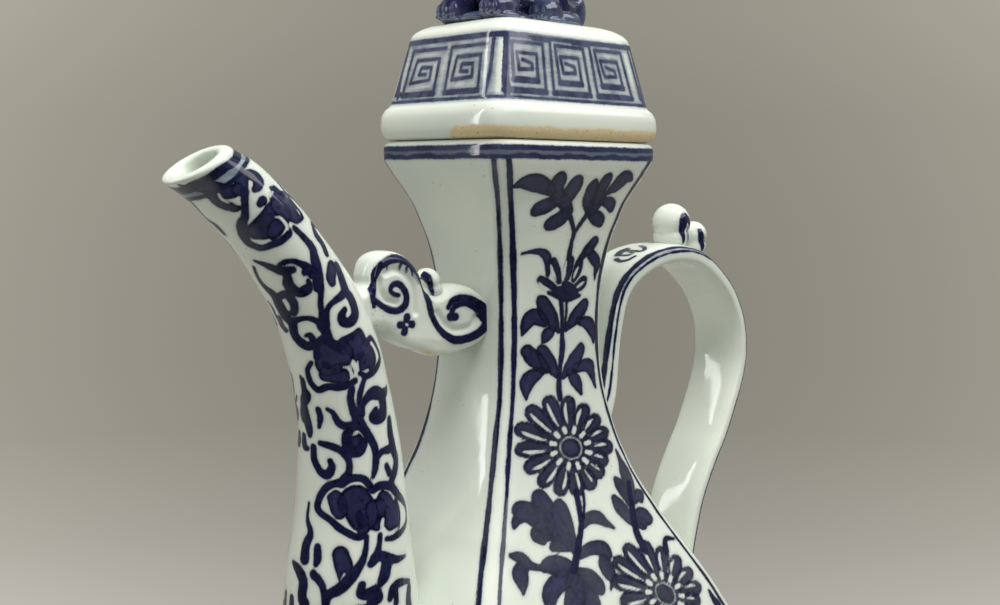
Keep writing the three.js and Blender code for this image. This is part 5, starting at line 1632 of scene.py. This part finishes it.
# Half lengths of the seat's inner and outer edge, of the hollow's ceiling, and how far in its wall is
SEAT_INNER, SEAT_OUTER = 25.5, 36.9
CEILING_HALF = 12
HOLLOW_INSET = 8.5
# Section of the collar's lower edge: rise above its foot, and inset from its outer face
COLLAR_EDGE = ((0.9, 0), (0.25, 0.3), (0, 0.9), (0, 2.6), (0.25, 3.3), (0.9, 3.6))


class EWER_OT_lid(bpy.types.Operator):
    """Builds the lid with its key fret, and its bare collar"""

    bl_idname = "ewer.lid"
    bl_label = "Lid"

    def execute(self, context):
        flange, crown = (through(scaled(shares, LID_HEIGHT, FLANGE_HALF) + (LID_SEAT, 0), 3)
                         for shares in (LID_PROFILE_SHARES, LID_SHOULDER_SHARES))
        band = np.linspace(flange[-1], crown[0], 52)[1:-1]
        inner = [(z - LID_WALL / 2, max(half - HOLLOW_INSET, LID_WALL)) for z, half in
                 (band[0], band[25], band[-1], crown[4], crown[7])]
        ceiling = LID_SEAT + LID_HEIGHT - LID_WALL
        profile = [(LID_SEAT, SEAT_INNER), (LID_SEAT, SEAT_OUTER), *flange, *band, *crown,
                   (ceiling, 0.01), (ceiling, CEILING_HALF), *reversed(inner), (LID_SEAT, SEAT_INNER)]
        places = squared_rings(profile, LID_WIDE_STEPS, LID_NARROW_STEPS)
        fields = lid_fields(places, 2, 2 + len(flange) + len(band) + len(crown))
        mesh = mesh_from_grid("fretted_lid", places, fields)
        shown("fretted_lid", mesh, ["lid_canopy"], painted_glaze("lid_blue", bare=True, slate=True),
              body="lid")

        top = (LID_SEAT + 1, COLLAR_HALF)
        edge = [(COLLAR_FOOT + rise, COLLAR_HALF - inset) for rise, inset in COLLAR_EDGE]
        ring = [top, *edge, (top[0], edge[-1][1]), top]
        collar = mesh_from_grid("bare_collar", squared_rings(ring, *RING_STEPS), {})
        shown("bare_collar", collar, ["lid_collar"], bare_clay("bare_clay"), body="lid")
        return {"FINISHED"}


LION_ADVANCE = 3.2
LION_VOXEL = 0.34
# How far aside of a paw's middle its toes are
LION_TOES = (-3.3, -1.1, 1.1, 3.3)


class Clay:
    """A piece of the lion as it is modelled: lengths are millimetres from the lid's top, under the lion.

    x runs to its back and z up. y runs out to the side that side gives the sign of.
    """

    def __init__(self, side=1):
        self.shape = bmesh.new()
        self.side = side

    def spot(self, place):
        """A place in the lion's own lengths, about the vessel's axis."""
        return np.array((place[0] - LION_ADVANCE, place[1] * self.side, place[2] + LID_SEAT + LID_HEIGHT))

    def ball(self, *place_and_radii):
        """A ball by its place and its radii along, across and up."""
        add_ball(self.shape, self.spot(place_and_radii[:3]), place_and_radii[3:], detail=20)

    def cord(self, *course):
        """A tapering cord through points of x, y, z, radius."""
        line = through(course, 6)
        places = [(*self.spot(point[:3]), max(point[3], 0.15)) for point in line]
        add_cord(self.shape, places, 10)

    def curl(self, place, radii, out, weight=0.7, turns=1.7, start=0):
        """A ball with a raised spiral on the side that faces out."""
        self.ball(*place, *radii)
        out = np.array(out, float) / np.linalg.norm(out)
        across = np.cross(out, (0.1, 0.2, 1))
        across /= np.linalg.norm(across)
        up = np.cross(out, across)
        course = []
        for share in np.linspace(0, 1, 15):
            opening = (1 - share) * 1.15 + 0.05
            turn = start + 2 * math.pi * turns * share
            flat = across * math.cos(turn) + up * math.sin(turn)
            ray = out * math.cos(opening) + flat * math.sin(opening)
            course.append((*(np.array(place) + ray * radii), weight * (0.7 + 0.3 * share)))
        self.cord(*course)

    def flame(self, root, bend, tip, weight):
        """A tuft of hair: a cord that thickens, bends and ends in a point."""
        self.cord((*root, weight), (*bend, weight * 0.85), (*tip, 0.2))

    def paw(self, x, y, reach):
        """A broad paw whose glaze has pooled round it on the lid's falling crown."""
        self.ball(x, y, 2.4, reach, 5, 4.8)
        for aside in LION_TOES:
            front = x - reach + 2.2 + 0.13 * aside * aside
            self.ball(front, y + aside, 1.7, 2.9, 1.55, 3)
            self.ball(front - 2.3, y + aside, -0.2, 1, 0.6, 1)
        self.ball(x + 0.8, y, -1, reach + 0.4, 5.6, 1.9)


def lion_trunk(clay):
    """The crouched body with its chest, its ridged back and its flank curls."""
    clay.ball(5, 0, 14.7, 16.3, 9.4, 10.6)
    clay.ball(-5, 0, 19.3, 11.5, 9.2, 10.8)
    clay.ball(1, 0, 5.4, 17.5, 8.6, 5.6)
    clay.ball(-12.5, 0, 13.5, 5.2, 6.4, 9)
    clay.ball(-1, 0, -1, 23, 9.8, 3.4)
    for k in range(7):
        x = 0.5 + 2.9 * k
        top = 14.7 + 10.6 * math.sqrt(1 - ((x - 5) / 16.3) ** 2)
        clay.ball(x, 0, top + 0.2, 1.5, 1.9, 1.7)
    for side in (-1, 1):
        clay.curl((3, side * 6.4, 18.5), (3.8, 3.2, 3.8), (0, side, 0.15), start=2)
        for k in range(3):
            clay.flame((-14.5, side * (1.2 + 1.5 * k), 20 - 1.5 * k), (-17.2, side * (1.4 + 1.6 * k), 16 - k),
                       (-17.6, side * (1.2 + 1.2 * k), 11.5 - k), 1.3)


def lion_head(clay):
    """The skull and muzzle, with brows, eyes, nose, lips and fangs."""
    clay.ball(-11.5, 0, 34.3, 9.6, 9, 8.4)
    clay.ball(-19.2, 0, 31.9, 6.3, 5.6, 3.6)
    clay.ball(-23.8, 0, 33.6, 2.2, 2.9, 2.1)
    clay.ball(-15.5, 0, 41.2, 2.6, 2.1, 1.9)
    for side in (-1, 1):
        clay.ball(-14.5, side * 6.6, 31, 4.2, 3, 3.6)
        clay.ball(-19, side * 3.9, 36.6, 2.3, 2.3, 2.3)
        clay.ball(-21, side * 4.1, 36.7, 0.9, 0.9, 0.9)
        clay.ball(-25, side * 1.6, 33, 1.2, 1.1, 1.1)
        clay.cord((-20.5, side * 0.8, 37.6, 1.1), (-20.4, side * 3.2, 39.4, 1.5),
                  (-18.2, side * 6.2, 39.6, 1.5), (-15.2, side * 7.8, 37.8, 1), (-14.8, side * 8, 35.4, 0.6))
        clay.curl((-16.6, side * 5.2, 40.4), (2.1, 2.1, 2.1), (-0.5, side, 0.6), weight=0.5)
        clay.cord((-25, side * 0.6, 30.6, 1), (-24.4, side * 3.2, 29.9, 1.2), (-20.6, side * 5.4, 29.2, 1.3),
                  (-15.8, side * 6.8, 28.2, 1.2), (-13.4, side * 7.2, 25.6, 0.9))
        clay.cord((-22.6, side * 3.3, 29.8, 0.95), (-22.8, side * 3.3, 28.4, 0.7),
                  (-22.5, side * 3.2, 27, 0.2))
        clay.ball(-24, side * 1, 29.2, 0.7, 0.8, 1.1)
        clay.flame((-17.5, side * 6.4, 31.5), (-15.5, side * 8.6, 31.4), (-12, side * 10.4, 33.4), 1.1)


def lion_jaw(clay):
    """The open lower jaw with its tongue, teeth and curled beard."""
    clay.ball(-17.4, 0, 24.6, 5.6, 4.8, 2.3)
    clay.ball(-18.6, 0, 26.6, 4.2, 2.3, 0.9)
    for side in (-1, 1):
        clay.cord((-22.6, 0, 26, 0.8), (-21.8, side * 2.4, 26.3, 0.9), (-18, side * 4.3, 26.4, 0.9),
                  (-13.8, side * 5.4, 26.6, 1))
        clay.cord((-21.4, side * 2.4, 26.4, 0.8), (-21.6, side * 2.5, 28.2, 0.2))
        clay.ball(-22.3, side * 0.8, 27, 0.6, 0.7, 0.9)
        clay.curl((-17.6, side * 2.2, 22), (2.1, 2.1, 2.1), (-0.6, side * 0.6, -0.4), weight=0.5)
        clay.curl((-14.2, side * 4.2, 22.6), (2.3, 2.1, 2.3), (-0.3, side, -0.3), weight=0.5)


def lion_foreleg(clay):
    """A foreleg with its shoulder curl, its tufts and its clawed paw; the left one is set back."""
    back = 2.6 if clay.side < 0 else 0
    clay.ball(-13.4 + back, 8, 10.4, 5.4, 4.4, 11.2)
    clay.ball(-15.4 + back, 8.8, 5, 5.4, 4.7, 6.6)
    clay.curl((-9.8, 8.4, 18.6), (5.2, 4, 5.4), (-0.2, 1, 0.1), weight=0.7, start=1)
    clay.paw(-18.6 + back, 9.2, 6.8)
    clay.flame((-8.6 + back, 8.8, 8), (-6 + back, 10.2, 10.4), (-5 + back, 10.6, 14), 1.5)


def lion_hindleg(clay):
    """A folded hind leg with its haunch curl, its tufts and its clawed paw."""
    clay.curl((14.4, 8, 9), (10.2, 5.6, 9.8), (0.1, 1, 0.15), weight=0.75, turns=1.9, start=0.6)
    clay.ball(20.4, 7.6, 3.4, 5.2, 5.2, 8)
    clay.ball(14, 9, 0.4, 9, 4.6, 3.4)
    clay.ball(7.4, 9.4, 11, 4.6, 4, 5.2)
    clay.paw(5.2, 10, 6.6)
    clay.flame((21.4, 7.8, 8.4), (24.2, 8.6, 11), (24, 8.8, 15.6), 1.7)


def lion_ear(clay):
    """A pricked, pointed ear."""
    clay.ball(-10.4, 9.2, 40.2, 2.3, 1.5, 3.2)
    clay.cord((-12, 8.6, 37.6, 1.2), (-12.4, 9.8, 40.4, 1), (-10.6, 10.6, 43.6, 0.4))
    clay.cord((-8.6, 9, 37.6, 1.2), (-8.6, 10, 40.6, 1), (-10.6, 10.6, 43.6, 0.4))


def lion_mane(clay):
    """Two rows of snail curls round the back of the head, and locks that hang down the neck."""
    for count, x, height, wide, tall, radius, lean in ((9, -6.2, 33.4, 9.8, 7.8, 3.9, -0.5),
                                                       (8, -0.6, 31.2, 8.2, 6.8, 3.8, 0.35)):
        for k in range(count):
            angle = math.pi * (k / (count - 1) * 1.56 - 0.28)
            out = (lean, math.cos(angle), math.sin(angle))
            clay.curl((x, wide * out[1], height + tall * out[2]), (radius, radius, radius), out,
                      weight=0.72, start=2 * k)
    for k in range(5):
        y = 3.1 * (k - 2)
        clay.flame((2, y, 30.5 - 0.25 * y * y), (4.8, y * 1.1, 28 - 0.2 * y * y),
                   (6.4, y * 1.15, 24.2 - 0.15 * y * y), 1.6)


def lion_tail(clay):
    """A tail that stands up in flames."""
    clay.ball(17.4, 0, 19.6, 4.4, 4.4, 5)
    clay.cord((17.6, 0, 20, 3.4), (20.4, 0, 25.6, 3.4), (19.8, 0, 31.6, 2.9), (17.6, 0, 36, 1.7),
              (18.6, 0, 39, 0.3))
    for side in (-1, 1):
        clay.curl((19.4, side * 3.2, 22.4), (3.3, 3, 3.3), (0.3, side, 0.1), weight=0.65)
        clay.cord((19.6, side * 1.6, 22.5, 2.2), (21.2, side * 4.2, 26.6, 2), (20.6, side * 4.9, 30.6, 1.4),
                  (18.8, side * 4.2, 34.6, 0.3))
        clay.cord((20.6, side * 1.2, 24, 1.9), (23, side * 1.6, 28.6, 1.7), (22.6, side * 1.8, 33, 1),
                  (20.8, side * 1.4, 36.6, 0.3))


LION_MIDDLE_PARTS = {"body": lion_trunk, "head": lion_head, "jaw": lion_jaw, "mane": lion_mane,
                     "tail": lion_tail}
LION_SIDE_PARTS = {"foreleg": lion_foreleg, "hindleg": lion_hindleg, "ear": lion_ear}


def raised_places(mesh, rounds=3):
    """How far each point stands out from its neighbours, above 0 on ridges, where glaze runs thin."""
    edges = np.empty(len(mesh.edges) * 2, np.int32)
    mesh.edges.foreach_get("vertices", edges)
    first, second = edges.reshape(-1, 2).T
    places = points_of(mesh)
    near = np.zeros_like(places)
    count = np.bincount(edges, minlength=len(places))[:, None]
    np.add.at(near, first, places[second])
    np.add.at(near, second, places[first])
    stand = ((places - near / count) * normals_of(mesh)).sum(axis=1)
    for _ in range(rounds):
        spread = np.zeros_like(stand)
        np.add.at(spread, first, stand[second])
        np.add.at(spread, second, stand[first])
        stand = (stand + spread / count[:, 0]) / 2
    return stand


class EWER_OT_lion(bpy.types.Operator):
    """Builds the guardian lion that is the lid's knob"""

    bl_idname = "ewer.lion"
    bl_label = "Lion"

    def execute(self, context):
        glaze = cobalt_glaze("lion_blue")
        pieces = [(name, model, 1) for name, model in LION_MIDDLE_PARTS.items()]
        for name, model in LION_SIDE_PARTS.items():
            pieces += [(name + "_left", model, -1), (name + "_right", model, 1)]
        for name, model, side in pieces:
            clay = Clay(side)
            model(clay)
            mesh = remeshed(clay.shape, LION_VOXEL, 2)
            keep_fields(mesh, {"raised": raised_places(mesh)})
            node = "lion_" + name
            shown("cobalt_" + node, mesh, [node], glaze, body="lid")
        return {"FINISHED"}


CAMERA_PLACE = (-0.29679, -0.30493, 0.27413)
CAMERA_TURN = (84.267, -0.246, -43.947)
CAMERA_LENS = 43.97
CAMERA_AHEAD = (0.695, 0.719, 0.0)
CAMERA_RIGHT = (0.720, -0.694, 0.0)
# Tone of the backdrop by the rise of the direction looked in, from straight down 0 to level 0.5
BACKDROP = (
    (0.0, (0.480, 0.463, 0.415, 1)), (0.171, (0.386, 0.372, 0.333, 1)), (0.197, (0.354, 0.340, 0.303, 1)),
    (0.227, (0.314, 0.301, 0.265, 1)), (0.266, (0.281, 0.268, 0.232, 1)), (0.305, (0.250, 0.238, 0.203, 1)),
    (0.354, (0.244, 0.231, 0.195, 1)), (0.402, (0.244, 0.231, 0.195, 1)), (0.468, (0.248, 0.235, 0.198, 1)),
    (0.549, (0.260, 0.247, 0.208, 1)), (0.627, (0.295, 0.280, 0.236, 1)), (1.0, (0.360, 0.342, 0.290, 1)),
)
FLOOR_RADIUS = 2.0
FLOOR_SOLID = 0.16
FLOOR_GONE = 0.36
# Lamps: name, place, width and height in metres, watts and hue
LAMPS = (
    ("high_softbox", (0.75, -0.95, 1.25), (1.3, 0.9), 9.3, (1, 0.995, 0.98)),
    ("left_strip", (-0.62, -1.05, 0.62), (0.05, 0.8), 1.3, (1, 0.98, 0.95)),
    ("back_fill", (0.9, 1.2, 1.0), (1.2, 1.2), 5, (0.97, 0.98, 1)),
    ("top_fill", (-0.2, -0.3, 1.5), (1.0, 1.0), 23, (1, 1, 0.98)),
    ("window_strip", (-0.84, 0.77, 0.61), (0.09, 0.8), 1.5, (1, 1, 0.98)),
    ("left_fill", (-1.2, 0.2, 0.5), (0.9, 0.7), 1.9, (1, 0.995, 0.97)),
)
LAMP_AIM = (0, 0, 0.2)


def backdrop():
    """A soft grey that the camera and reflections see, darker behind the camera, and even daylight."""
    bench = Bench(bpy.data.worlds.new("studio"), "ShaderNodeOutputWorld")
    rise = bench.toward((0, 0, 1)) + 0.5
    tone = bench.node("ShaderNodeValToRGB", {"stops": BACKDROP}, [rise], "Color")
    aside = bench.toward(CAMERA_RIGHT)
    side = (aside * aside * 2.6).at_most(0.42) + 1.0 - aside * 0.1
    seen = bench.node("ShaderNodeBackground", {}, {"Color": tone, "Strength": side})
    lit = bench.toward(CAMERA_AHEAD).fade(-0.35, 0.5) * 0.9 + 0.1
    mirrored = bench.node("ShaderNodeBackground", {}, {"Color": tone, "Strength": lit})
    daylight = bench.node("ShaderNodeBackground", {}, {"Color": (1.0, 0.985, 0.90, 1), "Strength": 0.21})
    path = bench.node("ShaderNodeLightPath", output="Is Camera Ray")
    shiny = bench.node("ShaderNodeLightPath", output="Is Glossy Ray")
    clear = bench.node("ShaderNodeLightPath", output="Is Transmission Ray")
    around = bench.node("ShaderNodeMixShader", {}, {0: shiny, 1: daylight, 2: mirrored})
    bench.end(bench.node("ShaderNodeMixShader", {}, {0: path.at_least(clear), 1: around, 2: seen}))
    return bench.owner


def pale_floor():
    """Cloth that takes the ewer's shadow and fades into the backdrop before a horizon shows."""
    bench = Bench("pale_floor")
    spread = bench.node("ShaderNodeVectorMath", {"operation": "LENGTH"}, [bench.place()], "Value")
    cloth = bench.node("ShaderNodeBsdfDiffuse", {}, {"Color": (0.55, 0.54, 0.50, 1)})
    gone = bench.node("ShaderNodeBsdfTransparent")
    share = spread.fade(FLOOR_SOLID, FLOOR_GONE)
    return bench.end(bench.node("ShaderNodeMixShader", {}, {0: share, 1: cloth, 2: gone}))


class EWER_OT_stage(bpy.types.Operator):
    """Builds the floor, the lamps, the surroundings and the camera"""

    bl_idname = "ewer.stage"
    bl_label = "Stage"

    def execute(self, context):
        scene = context.scene
        scene.view_settings.view_transform = "Standard"
        scene.world = backdrop()
        shape = bmesh.new()
        bmesh.ops.create_circle(shape, cap_ends=True, segments=96, radius=FLOOR_RADIUS)
        mesh = bpy.data.meshes.new("floor")
        shape.to_mesh(mesh)
        shape.free()
        mesh.materials.append(pale_floor())
        floor = bpy.data.objects.new("floor", mesh)
        scene.collection.objects.link(floor)

        for name, place, size, power, hue in LAMPS:
            lamp = bpy.data.lights.new(name, "AREA")
            lamp.shape = "RECTANGLE"
            lamp.size, lamp.size_y = size
            lamp.energy = power
            lamp.color = hue
            held = bpy.data.objects.new(name, lamp)
            held.location = place
            held.visible_glossy = not name.endswith("_fill")
            held.rotation_mode = "QUATERNION"
            held.rotation_quaternion = (Vector(LAMP_AIM) - Vector(place)).to_track_quat("-Z", "Y")
            scene.collection.objects.link(held)

        view = bpy.data.cameras.new("camera")
        view.sensor_width = 36
        view.lens = CAMERA_LENS
        view.clip_start = 0.01
        camera = bpy.data.objects.new("camera", view)
        camera.location = CAMERA_PLACE
        camera.rotation_euler = [math.radians(angle) for angle in CAMERA_TURN]
        scene.collection.objects.link(camera)
        scene.camera = camera
        return {"FINISHED"}


class EWER_PT_sidebar(bpy.types.Panel):
    """Sizes, colours and the pieces to build"""

    bl_label = "Painted ewer"
    bl_idname = "EWER_PT_sidebar"
    bl_space_type = "VIEW_3D"
    bl_region_type = "UI"
    bl_category = "Ewer"

    def draw(self, context):
        ewer = context.scene.ewer
        for name in EwerSettings.__annotations__:
            self.layout.prop(ewer, name)
        for operator in OPERATORS:
            self.layout.operator(operator.bl_idname)


OPERATORS = (EWER_OT_stage, EWER_OT_body, EWER_OT_foot, EWER_OT_spout, EWER_OT_strut, EWER_OT_handle,
             EWER_OT_scrolls, EWER_OT_lid, EWER_OT_lion)
CLASSES = (EwerSettings, *OPERATORS, EWER_PT_sidebar)


def register():
    for made in CLASSES:
        bpy.utils.register_class(made)
    bpy.types.Scene.ewer = bpy.props.PointerProperty(type=EwerSettings)


def unregister():
    del bpy.types.Scene.ewer
    for made in reversed(CLASSES):
        bpy.utils.unregister_class(made)


def main():
    """Builds every piece."""
    register()
    bpy.ops.ewer.stage()
    bpy.ops.ewer.body()
    bpy.ops.ewer.foot()
    bpy.ops.ewer.spout()
    bpy.ops.ewer.strut()
    bpy.ops.ewer.handle()
    bpy.ops.ewer.scrolls()
    bpy.ops.ewer.lid()
    bpy.ops.ewer.lion()


if __name__ == "__main__":
    main()
